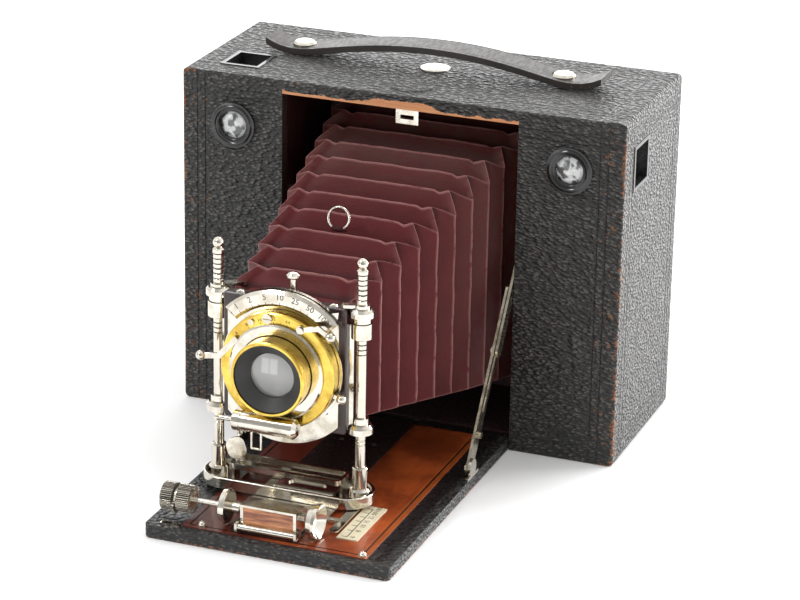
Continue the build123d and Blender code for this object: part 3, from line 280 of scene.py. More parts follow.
def bed_leather():
    """The bed's covering: pebbled outside, smooth where it is turned over on to the top."""
    look = Look("bed_leather", Specular_IOR_Level=0.62)
    low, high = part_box("bed_board")
    height = grain_height(look, 1.6 * MM)
    across = look.math("SUBTRACT", high.x, look.math("ABSOLUTE", look.x))
    ahead = look.math("SUBTRACT", look.y, low.y)
    side = look.math("MINIMUM", across, ahead)
    on_top = look.ramp(look.z, high.z - 0.6 * MM, high.z - 0.2 * MM)
    flat = look.math("MULTIPLY", on_top, look.ramp(side, 3 * MM, 6 * MM))
    flecks = look.noise(1.8 * MM, 4.0, 0.65)
    level = look.math("ADD", flecks, look.ramp(look.math("ADD", side, look.z), 0.3 * MM, 3.0 * MM, 0.20, 0.0))
    worn = look.ramp(level, 0.68, 0.74)
    # Pebble tops painted lighter than the creases: painted highlight on the grain and painted shade in its
    # creases.
    tone = look.mix(look.ramp(height, 0.75, 1.15), (0.008, 0.007, 0.007), (0.058, 0.054, 0.048))
    tone = look.mix(worn, tone, look.mix(flecks, (0.06, 0.025, 0.012), (0.34, 0.13, 0.05)))
    tone = look.mix(flat, tone, (0.008, 0.007, 0.007))
    shape = look.math("MULTIPLY", height, look.math("MULTIPLY_ADD", flat, -0.8, 1.0))
    rough = look.math("MULTIPLY_ADD", flat, -0.12, look.ramp(height, 0.6, 1.35, 0.52, 0.30))
    return look.finish(tone, rough, shape, 0.42 * MM)


def strap_leather():
    look = Look("strap_leather", Specular_IOR_Level=0.55)
    low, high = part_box("handle_strap")
    off = look.away_from(look.y, (low.y + high.y) / 2)
    groove = look.ramp(look.away_from(off, 6.6 * MM), 0.15 * MM, 0.6 * MM, 1.0, 0.0)
    rim = look.ramp(off, (high.y - low.y) / 2 - 0.9 * MM, (high.y - low.y) / 2, 0.0, 0.06)
    creases = look.noise(1.3 * MM, 4.0, 0.65, look.scaled((1.0, 0.25, 1.0)))
    level = look.math("ADD", look.noise(2.4 * MM, 4.0, 0.6), rim)
    worn = look.ramp(level, 0.72, 0.82)
    tone = look.mix(look.noise(14 * MM, 3.0), (0.012, 0.009, 0.008), (0.036, 0.028, 0.024))
    tone = look.mix(worn, tone, (0.13, 0.07, 0.045))
    shape = look.math("MULTIPLY_ADD", groove, -1.2, creases)
    rough = look.ramp(creases, 0.3, 0.7, 0.36, 0.55)
    return look.finish(tone, rough, shape, 0.12 * MM)


def bellows_leather():
    """Dark red leather: browner at the back, with pale crests of rubbed wear and painted highlight, and
    painted shade in the valleys and dips, from the mesh's own values.
    """
    look = Look("bellows_leather", Specular_IOR_Level=0.16)
    # The mesh's worn value marks crests, corners and ears, for rubbed wear and painted highlight together.
    wear_and_highlight = look.add("Attribute", {"attribute_name": "worn"}).outputs["Fac"]
    painted_fold_light = look.add("Attribute", {"attribute_name": "painted_fold_light"}).outputs["Fac"]
    grain = look.math("ADD", look.noise(0.5 * MM, 2.0), look.cells(0.45 * MM))
    scuffs = look.noise(3.0 * MM, 5.0, 0.68, look.scaled((0.35, 1.6, 0.7)))
    cloud = look.noise(16 * MM, 3.0)
    tone = look.mix(cloud, (0.074, 0.0085, 0.0105), (0.132, 0.0175, 0.0200))
    rear = look.ramp(look.y, -95 * MM, -15 * MM)
    tone = look.mix(look.math("MULTIPLY", rear, look.ramp(scuffs, 0.2, 0.65)), tone, (0.085, 0.034, 0.027))
    # Painted shade in the valleys and dips of the pleats.
    tone = look.mix(look.ramp(painted_fold_light, 0.0, 0.45, 0.75, 0.0), tone, (0.018, 0.003, 0.004))
    # Pale crest lines: partly rubbed wear, partly painted highlight.
    rubbed = look.math("MULTIPLY", wear_and_highlight, look.ramp(scuffs, 0.28, 0.50))
    tone = look.mix(look.math("MULTIPLY", rubbed, 0.8), tone, (0.34, 0.155, 0.145))
    shape = look.math("MULTIPLY_ADD", scuffs, 1.5, grain)
    rough = look.math("MULTIPLY_ADD", scuffs, 0.24, 0.30)
    return look.finish(tone, rough, shape, 0.07 * MM)


def panel_wood():
    """French-polished mahogany, dark red on one side of the track and orange on the other."""
    look = Look("panel_mahogany", Coat_Weight=0.7, Coat_Roughness=0.10)
    low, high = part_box("bed_panel")
    place = look.scaled((1.0, 0.07, 1.0), look.wobbled(30 * MM, 3 * MM))
    grain = look.noise(1.6 * MM, 5.0, 0.65, place)
    pores = look.noise(0.5 * MM, 2.0, 0.5, look.scaled((1.0, 0.05, 1.0)))
    figure = look.noise(26 * MM, 3.0, 0.6)
    red = look.mix(grain, (0.060, 0.008, 0.005), (0.160, 0.026, 0.011))
    orange = look.mix(grain, (0.270, 0.038, 0.008), (0.600, 0.130, 0.026))
    orange = look.mix(look.ramp(figure, 0.35, 0.65, 0.0, 0.7), orange, (0.110, 0.016, 0.004))
    tone = look.mix(look.ramp(look.x, -14 * MM, 8 * MM), red, orange)
    tone = look.mix(look.ramp(look.x, 40 * MM, 42 * MM, 0.0, 0.6), tone, (0.42, 0.10, 0.02))
    rim = look.math("MINIMUM", look.math("SUBTRACT", high.x, look.x), look.math("SUBTRACT", look.x, low.x))
    rim = look.math("MINIMUM", rim, look.math("SUBTRACT", look.y, low.y))
    line = look.ramp(look.away_from(rim, 2.7 * MM), 0.3 * MM, 0.5 * MM, 1.0, 0.0)
    tone = look.mix(line, tone, (0.012, 0.005, 0.004))
    tone = look.mix(look.ramp(pores, 0.66, 0.78, 0.0, 0.5), tone, (0.03, 0.008, 0.004))
    rough = look.ramp(grain, 0.3, 0.7, 0.30, 0.42)
    return look.finish(tone, rough, look.math("ADD", grain, pores), 0.04 * MM)


def plain_wood(name, dark, light, stretch, coat):
    look = Look(name, Coat_Weight=coat, Coat_Roughness=0.15)
    place = look.scaled(stretch, look.wobbled(20 * MM, 2 * MM))
    grain = look.noise(1.1 * MM, 5.0, 0.65, place)
    rings = look.noise(4.5 * MM, 3.0, 0.5, place)
    streak = look.math("MULTIPLY_ADD", rings, 0.5, look.math("MULTIPLY", grain, 0.5))
    tone = look.mix(look.ramp(streak, 0.38, 0.60), dark, light)
    return look.finish(tone, look.ramp(grain, 0.3, 0.7, 0.36, 0.50), grain, 0.05 * MM)


def metal(name, bright, dull, smooth, rough):
    """Plated metal: patches of dulling, dark spots, fine scratches, and a softly uneven surface."""
    look = Look(name, Metallic=1.0)
    patches = look.noise(7 * MM, 4.0, 0.6)
    spots = look.noise(0.9 * MM, 4.0, 0.7)
    scratches = look.noise(0.35 * MM, 3.0, 0.6, look.scaled((0.12, 1.0, 1.0), look.wobbled(8 * MM, 2 * MM)))
    tone = look.mix(look.ramp(patches, 0.40, 0.70), bright, dull)
    tone = look.mix(look.ramp(spots, 0.62, 0.74, 0.0, 0.35), tone, tuple(0.35 * c for c in dull))
    gloss = look.ramp(patches, 0.35, 0.70, smooth, rough)
    gloss = look.math("MULTIPLY_ADD", look.ramp(spots, 0.5, 0.75), 0.14, gloss)
    shape = look.math("MULTIPLY_ADD", scratches, 0.5, patches)
    return look.finish(tone, gloss, shape, 0.02 * MM, 0.6)


def turned_brass(name, black_within):
    """Lacquered brass with turning marks round the optical axis, and a dull black bore."""
    look = Look(name)
    radius = look.radius()
    stripes = look.add("CombineXYZ", None, X=radius, Y=look.y).outputs[0]
    turning = look.noise(0.16 * MM, 2.0, 0.5, stripes)
    patches = look.noise(8 * MM, 4.0, 0.6)
    spots = look.noise(0.8 * MM, 4.0, 0.7)
    tone = look.mix(look.ramp(patches, 0.35, 0.7), (0.86, 0.62, 0.13), (0.58, 0.38, 0.07))
    tone = look.mix(look.ramp(spots, 0.64, 0.76, 0.0, 0.6), tone, (0.16, 0.09, 0.03))
    gloss = look.ramp(patches, 0.35, 0.70, 0.18, 0.32)
    dark = look.math("LESS_THAN", radius, black_within)
    tone = look.mix(dark, tone, look.mix(spots, (0.020, 0.020, 0.021), (0.050, 0.048, 0.046)))
    gloss = look.math("MULTIPLY_ADD", dark, 0.25, gloss)
    look.feed(look.shader.inputs["Metallic"], look.math("SUBTRACT", 1.0, dark))
    return look.finish(tone, gloss, turning, 0.012 * MM, 0.5)


def enamel(name, tone, gloss, chips):
    look = Look(name, Specular_IOR_Level=0.5)
    dust = look.noise(1.2 * MM, 4.0, 0.65)
    waves = look.noise(6 * MM, 3.0)
    chipped = look.ramp(dust, 0.66, 0.72, 0.0, chips)
    colour = look.mix(waves, tone, tuple(1.9 * c for c in tone))
    colour = look.mix(chipped, colour, (0.10, 0.085, 0.07))
    return look.finish(colour, look.ramp(dust, 0.3, 0.7, gloss, gloss + 0.12), dust, 0.01 * MM, 0.15)


def finder_enamel():
    """Glossy black bezels with turned steps round each finder lens."""
    look = Look("finder_enamel", Specular_IOR_Level=0.6)
    across = look.math("SUBTRACT", look.math("ABSOLUTE", look.x), FINDER_X)
    radius = look.distance(across, look.math("SUBTRACT", look.z, FINDER_Z))
    steps = look.math("SINE", look.math("MULTIPLY", radius, 2 * pi / (2.1 * MM)))
    on_face = look.math("LESS_THAN", look.y, BODY_LOW.y)
    dust = look.noise(1.5 * MM, 3.0)
    groove = look.math("MULTIPLY", on_face, look.ramp(steps, -0.9, -0.2, 1.0, 0.0))
    tone = look.mix(dust, (0.010, 0.010, 0.011), (0.022, 0.021, 0.020))
    tone = look.mix(groove, tone, (0.002, 0.002, 0.002))
    shape = look.math("ADD", look.math("MULTIPLY", steps, on_face), look.math("MULTIPLY", dust, 0.1))
    return look.finish(tone, look.ramp(dust, 0.3, 0.7, 0.12, 0.24), shape, 0.30 * MM)


def ivory():
    look = Look("ivory_scale", Specular_IOR_Level=0.5)
    stain = look.noise(7 * MM, 5.0, 0.65)
    tone = look.mix(stain, (0.80, 0.74, 0.55), (0.60, 0.52, 0.34))
    return look.finish(tone, look.ramp(stain, 0.3, 0.7, 0.30, 0.45), stain, 0.02 * MM)


def clear_glass(name, tint, smear):
    look = Look(name, Transmission_Weight=1.0, IOR=1.5)
    haze = look.noise(4 * MM, 4.0, 0.6)
    tone = look.mix(haze, tint, tuple(0.8 * c for c in tint))
    return look.finish(tone, look.ramp(haze, 0.45, 0.8, 0.0, smear), haze, 0.004 * MM, 0.3)


def lens_look():
    """The front lens: half clear, its grey a painted reflection of the bright studio, lighter towards the
    top, with a painted reflection of a bright window in its upper part.
    """
    look = Look("lens_glass", Transmission_Weight=0.5, IOR=1.6, Coat_Weight=1.0, Coat_Roughness=0.02)
    across = look.away_from(look.x, AXIS_X - 1.2 * MM)
    up = look.away_from(look.z, AXIS_Z + 4.2 * MM)
    # Painted reflection of a bright window, with a dimmer bar down its middle.
    window = look.math("MULTIPLY", look.ramp(across, 3.2 * MM, 4.4 * MM, 1.0, 0.0),
                       look.ramp(up, 2.8 * MM, 4.0 * MM, 1.0, 0.0))
    window = look.math("MULTIPLY", window, look.ramp(across, 0.3 * MM, 0.6 * MM, 0.5, 1.0))
    haze = look.noise(5 * MM, 3.0, 0.5)
    # Painted reflection: the glass is lighter towards its top.
    depth = look.ramp(look.z, AXIS_Z - 9 * MM, AXIS_Z + 2 * MM)
    tone = look.mix(depth, (0.34, 0.34, 0.33), (0.62, 0.62, 0.60))
    tone = look.mix(window, tone, (0.95, 0.95, 0.94))
    return look.finish(tone, look.ramp(haze, 0.45, 0.8, 0.02, 0.10), haze, 0.004 * MM, 0.3)


def finder_view():
    """Finder glasses: a painted reflection, bright with dark shapes, in the front lenses, and plain ground
    screens.
    """
    look = Look("finder_glass", Transmission_Weight=0.35, Coat_Weight=1.0, Coat_Roughness=0.03)
    # Painted reflection: bright glass with dark shapes across it.
    painted_reflection_shapes = look.noise(4 * MM, 2.0, 0.4, look.wobbled(6 * MM, 3 * MM))
    tone = look.mix(look.ramp(painted_reflection_shapes, 0.45, 0.55), (0.12, 0.125, 0.125), (0.90, 0.92, 0.91))
    in_front = look.math("LESS_THAN", look.y, BODY_LOW.y + 5 * MM)
    tone = look.mix(in_front, (0.34, 0.35, 0.34), tone)
    return look.finish(tone, look.ramp(painted_reflection_shapes, 0.3, 0.7, 0.10, 0.30), painted_reflection_shapes, 0.02 * MM, 0.4)


def silvered():
    look = Look("mirror", Metallic=1.0)
    spots = look.noise(2.5 * MM, 4.0, 0.6)
    tone = look.mix(look.ramp(spots, 0.6, 0.75), (0.85, 0.87, 0.88), (0.25, 0.24, 0.22))
    return look.finish(tone, look.ramp(spots, 0.5, 0.75, 0.02, 0.25), spots, 0.003 * MM, 0.3)


def spool_look():
    """Dark stained wooden core between dull tinned end discs."""
    look = Look("film_spool")
    low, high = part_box("takeup_spool")
    off = look.away_from(look.z, (low.z + high.z) / 2)
    disc = look.math("GREATER_THAN", off, (high.z - low.z) / 2 - 1.6 * MM)
    grain = look.noise(1.5 * MM, 4.0, 0.6, look.scaled((1, 1, 0.1)))
    tone = look.mix(disc, look.mix(grain, (0.05, 0.03, 0.02), (0.12, 0.07, 0.04)), (0.45, 0.44, 0.42))
    look.feed(look.shader.inputs["Metallic"], disc)
    return look.finish(tone, look.ramp(grain, 0.3, 0.7, 0.35, 0.5), grain, 0.05 * MM)


def ink():
    look = Look("black_ink", Specular_IOR_Level=0.4)
    fade = look.noise(0.6 * MM, 3.0, 0.6)
    tone = look.mix(fade, (0.010, 0.009, 0.008), (0.05, 0.045, 0.04))
    return look.finish(tone, look.ramp(fade, 0.3, 0.7, 0.4, 0.6), fade, 0.005 * MM, 0.4)


def floor_look():
    look = Look("pale_floor", Specular_IOR_Level=0.2, Emission_Color=(1, 1, 1, 1), Emission_Strength=0.10)
    haze = look.noise(0.4, 2.0)
    tone = look.mix(haze, (0.90, 0.90, 0.90), (0.93, 0.93, 0.93))
    return look.finish(tone, look.ramp(haze, 0.3, 0.7, 0.7, 0.8), haze, 0.1 * MM, 0.2)


def ribbed_nickel():
    """Bright plating with dark rings turned into the posts at two heights."""
    look = Look("ribbed_nickel", Metallic=1.0)
    patches = look.noise(6 * MM, 4.0, 0.6)
    rings = look.math("SINE", look.math("MULTIPLY", look.z, 2 * pi / (2.3 * MM)))
    high = look.ramp(look.away_from(look.z, 109.5 * MM), 6.4 * MM, 7.0 * MM, 1.0, 0.0)
    low = look.ramp(look.away_from(look.z, 84 * MM), 5.4 * MM, 6.0 * MM, 1.0, 0.0)
    groove = look.math("MULTIPLY", look.math("MAXIMUM", high, low), look.ramp(rings, 0.70, 0.92))
    tone = look.mix(patches, (0.78, 0.74, 0.66), (0.62, 0.57, 0.48))
    tone = look.mix(groove, tone, (0.035, 0.028, 0.022))
    gloss = look.ramp(patches, 0.3, 0.7, 0.08, 0.18)
    return look.finish(tone, gloss, look.math("MULTIPLY", groove, -1.0), 0.25 * MM)


def knurled_metal():
    """Dull plating, with the knob's and clamp's rims milled round the shaft's axis."""
    look = Look("milled_nickel", Metallic=1.0)
    low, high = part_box("clamp_shaft")
    across = look.math("SUBTRACT", look.y, (low.y + high.y) / 2)
    up = look.math("SUBTRACT", look.z, (low.z + high.z) / 2)
    milling = look.math("SINE", look.math("MULTIPLY", look.math("ARCTAN2", up, across), 46.0))
    outer = look.ramp(look.distance(across, up), 4.6 * MM, 5.2 * MM)
    rim = look.math("MULTIPLY", outer, look.math("LESS_THAN", look.x, -30 * MM))
    patches = look.noise(3 * MM, 4.0, 0.6)
    groove = look.math("MULTIPLY", rim, look.ramp(milling, -0.6, 0.4, 1.0, 0.0))
    tone = look.mix(patches, (0.78, 0.74, 0.66), (0.52, 0.48, 0.40))
    tone = look.mix(groove, tone, (0.08, 0.065, 0.05))
    shape = look.math("ADD", look.math("MULTIPLY", milling, rim), patches)
    return look.finish(tone, look.ramp(patches, 0.3, 0.7, 0.24, 0.38), shape, 0.22 * MM)


nickel = metal("bright_nickel", (0.76, 0.72, 0.64), (0.57, 0.52, 0.43), 0.08, 0.19)
dull_nickel = metal("dull_nickel", (0.62, 0.59, 0.54), (0.42, 0.39, 0.34), 0.26, 0.42)
# A darker copy of the bright plating: painted shade standing in for the dark surroundings that the struts
# reflect.
shaded_strut_nickel = metal("shaded_strut_nickel", (0.62, 0.56, 0.44), (0.32, 0.28, 0.20), 0.14, 0.30)
board_wood = plain_wood("board_mahogany", (0.010, 0.004, 0.003), (0.035, 0.010, 0.007), (1, 1, 0.12), 0.5)
clamp_wood = plain_wood("clamp_wood", (0.20, 0.040, 0.012), (0.66, 0.27, 0.10), (0.10, 1, 1), 0.8)
stained_wood = plain_wood("stained_wood", (0.012, 0.005, 0.004), (0.05, 0.012, 0.008), (1, 1, 0.12), 0.2)

LOOKS = {
    body_leather(): ("body_shell", "back_cover", "bed_release_button"),
    bed_leather(): ("bed_board",),
    strap_leather(): ("handle_strap",),
    panel_wood(): ("bed_panel",),
    board_wood: ("lens_board",),
    clamp_wood: ("wood_insert",),
    stained_wood: ("inner_frame",),
    nickel: (
        "winding_key", "strap_screws", "bed_catch", "pivot_pins", "ruby_cover", "bed_fittings",
        "carriage_base", "clamp_box", "finger_disc_left", "finger_disc_right", "base_ring", "slide_lock_tab",
        "board_runners", "lever_nut_left", "lever_nut_right", "board_fittings", "shutter_plate",
        "shutter_fittings", "aperture_ring", "release_lever", "setting_lever", "air_cylinder", "air_piston",
        "speed_pointer"),
    dull_nickel: (
        "back_release_button", "back_fittings", "tripod_bushes", "film_roller_left", "film_roller_right"),
    shaded_strut_nickel: ("strut_lower_left", "strut_lower_right", "strut_upper_left", "strut_upper_right"),
    ribbed_nickel(): ("posts",),
    knurled_metal(): ("clamp_shaft", "focus_lock"),
    turned_brass("lacquered_brass", 20 * MM): ("shutter_case",),
    turned_brass("barrel_brass", 15.65 * MM): ("lens_barrels",),
    finder_enamel(): ("finder_frames",),
    enamel("track_enamel", (0.014, 0.010, 0.009), 0.16, 0.5): ("track_plate",),
    enamel("blackened_steel", (0.03, 0.03, 0.03), 0.4, 0.2): ("shutter_blade_left", "shutter_blade_right"),
    ivory(): ("scale_card",),
    lens_look(): ("lens_glasses",),
    clear_glass("ruby_glass", (0.60, 0.02, 0.03), 0.1): ("ruby_window",),
    finder_view(): ("finder_glasses",),
    silvered(): ("finder_mirrors",),
    spool_look(): ("supply_spool", "takeup_spool"),
}
for material, names in LOOKS.items():
    for name in names:
        for material_slot in NODES[name].material_slots:
            material_slot.material = material


# ------------------------------------------------------------------ mesh helpers
def mesh_piece(name, points, faces, material):
    mesh = bpy.data.meshes.new(name)
    mesh.from_pydata([tuple(p) for p in points], [], faces)
    mesh.update()
    mesh.materials.append(material)
    piece = bpy.data.objects.new(name, mesh)
    bpy.context.scene.collection.objects.link(piece)
    return piece


def smooth(piece, angle=40):
    """Smooth shading, with a sharp crease where faces meet at more than the angle."""
    mesh = piece.data
    mesh.polygons.foreach_set("use_smooth", [True] * len(mesh.polygons))
    mesh.set_sharp_from_angle(angle=radians(angle))


def applied(piece, kind, **settings):
    """Adds a modifier and applies it at once."""
    modifier = piece.modifiers.new(kind.lower(), kind)
    for key, value in settings.items():
        setattr(modifier, key, value)
    evaluated = piece.evaluated_get(bpy.context.evaluated_depsgraph_get())
    mesh = bpy.data.meshes.new_from_object(evaluated)
    piece.modifiers.clear()
    piece.data = mesh


def grid_faces(rows, columns, closed):
    """Quads between rows of points, going right round each row if closed."""
    last = columns if closed else columns - 1
    return [(r * columns + c, r * columns + (c + 1) % columns, (r + 1) * columns + (c + 1) % columns,
             (r + 1) * columns + c) for r in range(rows - 1) for c in range(last)]


# ------------------------------------------------------------------ bellows
FOLD_PITCH = 13 * MM
FIRST_CREST = -130 * MM
REAR_Y = 13.4 * MM
FRONT_Y = BOARD_BACK + 0.4 * MM
EAR_HEIGHT, EAR_WIDTH = 2.6 * MM, 2.2 * MM
DIP_DEPTH, DIP_INSET, DIP_WIDTH = 1.4 * MM, 4.6 * MM, 2.2 * MM
DIP_PAINTED_SHADE = 150                        # how much painted shade is laid on the leather for each metre of dip
# Stations along the bellows, and where each side has its crests and its valleys there, in millimetres.
STATIONS = (FRONT_Y / MM, -130, -91, -52, -13, REAR_Y / MM)
OUTLINE = {
    "top": ((99, 108, 123, 135, 145, 150), (99, 101.5, 113, 125, 138, 146)),
    "bottom": ((44, 43, 36.5, 30, 24, 21), (44, 48.5, 42.5, 36, 30, 26)),
    "right": ((14.6, 22, 33.5, 44, 51.5, 52.5), (14.6, 14.4, 25.2, 36, 46.5, 48)),
    "left": ((-39.3, -39.3, -41.5, -44.5, -47.5, -49), (-39.3, -31.5, -33.4, -35.5, -39, -42)),
}


def fold_share(y, shift):
    """1 on a crest, 0 in a valley, with both a little rounded."""
    turns = (y - FIRST_CREST) / FOLD_PITCH + shift
    off = abs(turns - round(turns))
    soft = 0.025
    return max(0.0, 1 - 2 * ((off * off + soft * soft) ** 0.5 - soft))


def edge_at(side, y, share):
    crest, valley = (np.interp(y / MM, STATIONS, values) * MM for values in OUTLINE[side])
    return valley + (crest - valley) * share


def wrinkle(x, y, z):
    """Slight unevenness of the old leather."""
    broad = sin(x * 310 + 2 * sin(y * 190)) * sin(z * 260 + y * 140)
    return 0.20 * MM * (broad + 0.5 * sin(x * 820 + z * 640 + y * 300))


def side_stops(length):
    """Shares along one side of a row: even steps, with close ones at both corners."""
    near = 0.5 * MM / length
    close = [near * count for count in (1, 3, 6, 10, 15)]
    middle = [0.2 + 0.6 * step / 12 for step in range(13)]
    return [0] + close + middle + [1 - share for share in reversed(close)]


def bellows_ring_points(y):
    """One closed row of points round the bellows, with each one's wear and painted highlight, and its painted
    light and shade.

    At each corner the leather of a valley stands up in a small ear, and dips just beside it. The front pleat
    has lower ears, where it is glued to the lens board.
    """
    flat, upright = fold_share(y, 0.0), fold_share(y, 0.5)
    top, bottom = edge_at("top", y, flat), edge_at("bottom", y, flat)
    right, left = edge_at("right", y, upright), edge_at("left", y, upright)
    ear_height = EAR_HEIGHT * (1 - flat) * min(1.0, (y - FRONT_Y) / (5 * MM))
    high, low = top + ear_height, bottom - ear_height
    corners = [Vector((x, y, z)) for x, z in ((right, high), (right, low), (left, low), (left, high))]
    points, wear_and_highlight, painted_fold_light = [], [], []
    for index, start in enumerate(corners):
        end = corners[(index + 1) % 4]
        length = (end - start).length
        on_side = index % 2 == 0
        ridge = max(0.0, ((upright if on_side else flat) - 0.93) / 0.07)
        for share in side_stops(length):
            away = min(share, 1 - share) * length
            ear = 0.0 if on_side else exp(-((away / EAR_WIDTH) ** 2))
            dip = 0.0 if on_side else DIP_DEPTH * exp(-(((away - DIP_INSET) / DIP_WIDTH) ** 2))
            inward = 0.0 if on_side else ear_height * (1 - ear) + dip
            upward = inward if index == 1 else -inward
            at = start.lerp(end, share)
            points.append(at + Vector((wrinkle(at.x, y, at.z), 0, wrinkle(at.z, y, at.x) + upward)))
            # Crests, corners and ears: rubbed wear and painted highlight together.
            wear_and_highlight.append(1.0 if share == 0 else max(ridge, 0.6 * ear * (1 - flat)))
            # Painted light and shade: lit on the crests and ears, painted shade in the valleys and dips.
            painted_fold_light.append(upright if on_side else max(flat, ear) - DIP_PAINTED_SHADE * dip)
    return points, wear_and_highlight, painted_fold_light


def bellows_rows(start, end):
    """Places of the rows between two ends, closer together beside each crease."""
    half = FOLD_PITCH / 2
    first = int((start - FIRST_CREST) // half)
    rows = {start, end}
    for index in range(first, first + 30):
        for part in (0.0, 0.05, 0.12, 0.3, 0.5, 0.7, 0.88, 0.95):
            y = FIRST_CREST + (index + part) * half
            if start < y < end:
                rows.add(y)
    return sorted(rows)


def bellows_section(name, start, end, material):
    """The pleats from start to end, which is further back."""
    points, wear_and_highlight, painted_fold_light = [], [], []
    rows = bellows_rows(start, end)
    for y in rows:
        row, row_wear_and_highlight, row_painted_fold_light = bellows_ring_points(y)
        points += row
        wear_and_highlight += row_wear_and_highlight
        painted_fold_light += row_painted_fold_light
    columns = len(points) // len(rows)
    section = mesh_piece(name, points, grid_faces(len(rows), columns, True), material)
    for attribute, values in (("worn", wear_and_highlight), ("painted_fold_light", painted_fold_light)):
        section.data.attributes.new(attribute, "FLOAT", "POINT").data.foreach_set("value", values)
    smooth(section, 60)
    applied(section, "SOLIDIFY", thickness=0.5 * MM, offset=-1)
    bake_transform(section)
    return section


def make_bellows(material):
    """Four sections, each between two neighbouring bodies. Returns the places where they meet."""
    cuts = (FRONT_Y, FIRST_CREST, FIRST_CREST + 0.5 * FOLD_PITCH, FIRST_CREST + 6.5 * FOLD_PITCH, REAR_Y)
    bodies = ("front_board", "cross_slide", "carriage", "bed", "camera_body")
    spans = zip(cuts, cuts[1:], bodies, bodies[1:])
    for number, (start, end, front_body, rear_body) in enumerate(spans, 1):
        section = bellows_section(f"bellows_{number}", start, end, material)
        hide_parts("bellows")
    return cuts


def wire_loop(name, path, radius, material):
    """Round wire along a closed path of points."""
    sides = 12
    points = []
    count = len(path)
    for index, at in enumerate(path):
        along = (path[(index + 1) % count] - path[index - 1]).normalized()
        across = (across - along * across.dot(along)) if points else along.orthogonal()
        across.normalize()
        other = along.cross(across)
        for step in range(sides):
            turn = 2 * pi * step / sides
            points.append(at + across * (radius * cos(turn)) + other * (radius * sin(turn)))
    last = (count - 1) * sides
    closing = [(last + s, last + (s + 1) % sides, (s + 1) % sides, s) for s in range(sides)]
    piece = mesh_piece(name, points, grid_faces(count, sides, True) + closing, material)
    smooth(piece)
    return piece


def make_pull_ring(leather, metal_look, start, end):
    """Ring on the bellows' top, held by a small leather tab under its crest."""
    centre, radius, tilt = Vector((-5.8, -101, 124)) * MM, 5.0 * MM, radians(76)
    path = [centre + Vector((cos(t), sin(t) * cos(tilt), sin(t) * sin(tilt))) * radius
            for t in (2 * pi * step / 40 for step in range(40))]
    ring = wire_loop("bellows_ring", path, 0.55 * MM, metal_look)
    foot = centre - Vector((0, cos(tilt), sin(tilt))) * radius
    rows = []
    for turn in (radians(-150 + 300 * step / 8) for step in range(9)):
        rows.append(foot + Vector((0, -cos(turn), sin(turn))) * (1.0 * MM) + Vector((0, 0, 0.2 * MM)))
    rows = [rows[0] + Vector((0, 3.6, -1.6)) * MM] + rows + [rows[-1] + Vector((0, 3.6, -1.4)) * MM]
    points = [at + Vector((x * 2.6 * MM, 0, 0)) for at in rows for x in (-1, -0.4, 0.4, 1)]
    tab = mesh_piece("bellows_ring_tab", points, grid_faces(len(rows), 4, False), leather)
    smooth(tab, 60)
    applied(tab, "SOLIDIFY", thickness=0.5 * MM, offset=0)
    for piece in (ring, tab):
        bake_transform(piece)


red_leather = bellows_leather()
bellows_cuts = make_bellows(red_leather)
make_pull_ring(red_leather, nickel, *bellows_cuts[2:4])


# ------------------------------------------------------------------ engraved scales
def lettering(words, size):
    """Flat mesh of the words, centred on the origin and facing +Z."""
    curve = bpy.data.curves.new("words", "FONT")
    curve.body = words
    curve.size = size
    curve.extrude = 0.015 * MM
    curve.align_x = curve.align_y = "CENTER"
    curve.resolution_u = 2
    written = bpy.data.objects.new("words", curve)
    mesh = bpy.data.meshes.new_from_object(written)
    bpy.data.objects.remove(written)
    return mesh


def stroke_mesh(length, width):
    """Flat bar along X, centred on the origin and facing +Z."""
    mesh = bpy.data.meshes.new("stroke")
    half, side, top = length / 2, width / 2, 0.015 * MM
    corners = ((-half, -side), (half, -side), (half, side), (-half, side))
    points = [(x, y, z) for z in (-top, top) for x, y in corners]
    faces = [(3, 2, 1, 0), (4, 5, 6, 7), (0, 1, 5, 4), (1, 2, 6, 5), (2, 3, 7, 6), (3, 0, 4, 7)]
    mesh.from_pydata(points, [], faces)
    return mesh


def marking_piece(name, marks, material, body):
    """Joins (mesh, matrix) marks into one piece that rides on the body."""
    points, faces = [], []
    for mesh, place in marks:
        first = len(points)
        points += [place @ vertex.co for vertex in mesh.vertices]
        faces += [[first + corner for corner in face.vertices] for face in mesh.polygons]
    piece = mesh_piece(name, points, faces, material)
    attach(piece, body)


def on_card(x, y, turn=90):
    """A place on the ivory card, facing up."""
    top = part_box("scale_card")[1].z
    return Matrix.Translation((x, y, top + 0.02 * MM)) @ Matrix.Rotation(radians(turn), 4, "Z")


def distance_scale(material):
    """Focusing distances on the ivory card, read along the bed."""
    low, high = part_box("scale_card")
    line_x = low.x + 4.2 * MM
    start, end = low.y + 2.0 * MM, high.y - 3.0 * MM
    marks = [(stroke_mesh(end - start, 0.40 * MM), on_card(line_x, (start + end) / 2))]
    distances = ("6", "8", "10", "15", "25", "50", "100")
    for index, distance in enumerate(distances):
        y = start + (end - start) * (index / (len(distances) - 1)) ** 0.85
        marks.append((stroke_mesh(2.6 * MM, 0.40 * MM), on_card(line_x - 1.3 * MM, y, 0)))
        marks.append((lettering(distance, 3.3 * MM), on_card(line_x + 2.4 * MM, y + 0.6 * MM)))
    marking_piece("distance_marks", marks, material, "bed")


def on_dial(radius, angle, y, upright=True):
    """A place on a dial round the optical axis, facing the front."""
    turn = radians(angle)
    place = Vector((AXIS_X + radius * cos(turn), y, AXIS_Z + radius * sin(turn)))
    facing = Matrix.Rotation(radians(90), 4, "X") @ Matrix.Rotation(turn - (pi / 2 if upright else 0), 4, "Z")
    return Matrix.Translation(place) @ facing


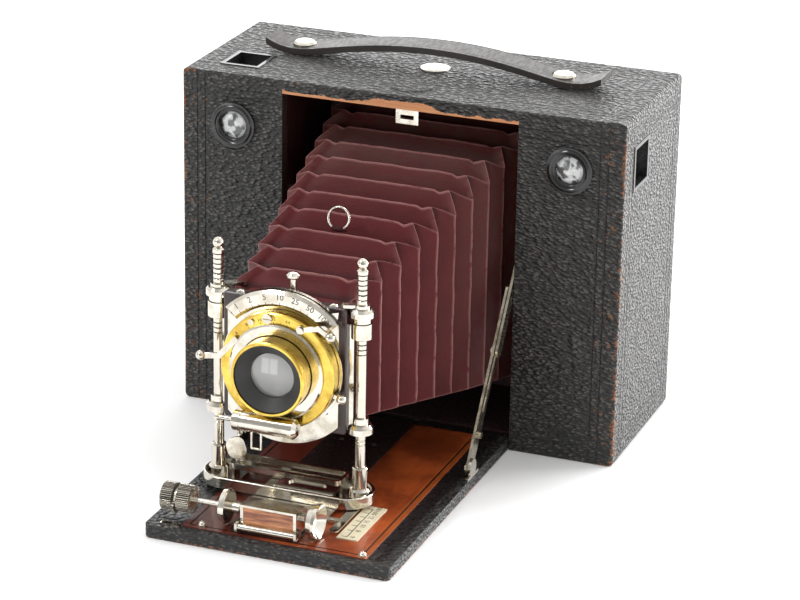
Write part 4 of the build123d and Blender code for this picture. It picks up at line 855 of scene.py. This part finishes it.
def dial(name, y, radius, tick_radius, tick, angles, numbers, size, material, body):
    """Numbers along an arc, with a tick at each and a shorter one between them."""
    marks = []
    start, end = angles
    for index, number in enumerate(numbers):
        angle = start + (end - start) * index / (len(numbers) - 1)
        marks.append((lettering(number, size), on_dial(radius, angle, y)))
        marks.append((stroke_mesh(tick, 0.22 * MM), on_dial(tick_radius, angle, y, False)))
        if index:
            half = angle - (end - start) / (len(numbers) - 1) / 2
            marks.append((stroke_mesh(tick * 0.6, 0.18 * MM), on_dial(tick_radius, half, y, False)))
    marking_piece(name, marks, material, body)


PLATE_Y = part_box("shutter_plate")[0].y
dark_ink = ink()
distance_scale(dark_ink)
dial("speed_marks", PLATE_Y - 0.02 * MM, 33.2 * MM, 30.0 * MM, 1.8 * MM, (128, 52),
     ("1", "2", "5", "10", "25", "50", "100"), 3.8 * MM, dark_ink, "front_board")
dial("stop_marks", CASE_LOW.y - 0.02 * MM, 24.2 * MM, 22.6 * MM, 0.9 * MM, (142, 62),
     ("4", "8", "16", "32", "64", "128"), 2.2 * MM, dark_ink, "front_board")


# ------------------------------------------------------------------ floor, lights, camera
def make_floor(material):
    size = 4.0
    corners = [(-size, -size, 0), (size, -size, 0), (size, size, 0), (-size, size, 0)]
    floor = mesh_piece("floor", corners, [(0, 1, 2, 3)], material)


def make_world():
    """White studio all round, darker towards the front, where nothing is lit."""
    world = bpy.data.worlds.new("studio")
    bpy.context.scene.world = world
    world.use_nodes = True
    tree = world.node_tree
    background = tree.nodes["Background"]
    coordinates = tree.nodes.new("ShaderNodeTexCoord")
    axes = tree.nodes.new("ShaderNodeSeparateXYZ")
    fade = tree.nodes.new("ShaderNodeMapRange")
    fade.interpolation_type = "SMOOTHSTEP"
    for words, value in (("From Min", -0.85), ("From Max", 0.0), ("To Min", 0.42), ("To Max", 1.15)):
        fade.inputs[words].default_value = value
    tree.links.new(coordinates.outputs["Generated"], axes.inputs[0])
    tree.links.new(axes.outputs["Y"], fade.inputs["Value"])
    tree.links.new(fade.outputs[0], background.inputs["Strength"])
    background.inputs["Color"].default_value = (1, 1, 1, 1)


make_floor(floor_look())
make_world()
soft_light("key", (-1.0, -0.9, 1.7), (0, -0.05, 0.06), (0.5, 0.5), 12)
soft_light("window", (-0.9, -1.45, 0.25), (AXIS_X, -0.16, AXIS_Z), (0.35, 0.45), 3)
soft_light("back_wall", (0.0, 2.2, 0.8), (0, 0, 0.08), (3.4, 1.6), 36)
soft_light("right_wall", (1.7, 1.5, 0.45), (0.1, 0, 0.08), (1.6, 1.0), 84)
soft_light("top", (0.3, 0.9, 1.7), (0, 0, 0.05), (0.5, 0.4), 6)
make_camera()
bpy.context.scene.view_settings.view_transform = "Standard"
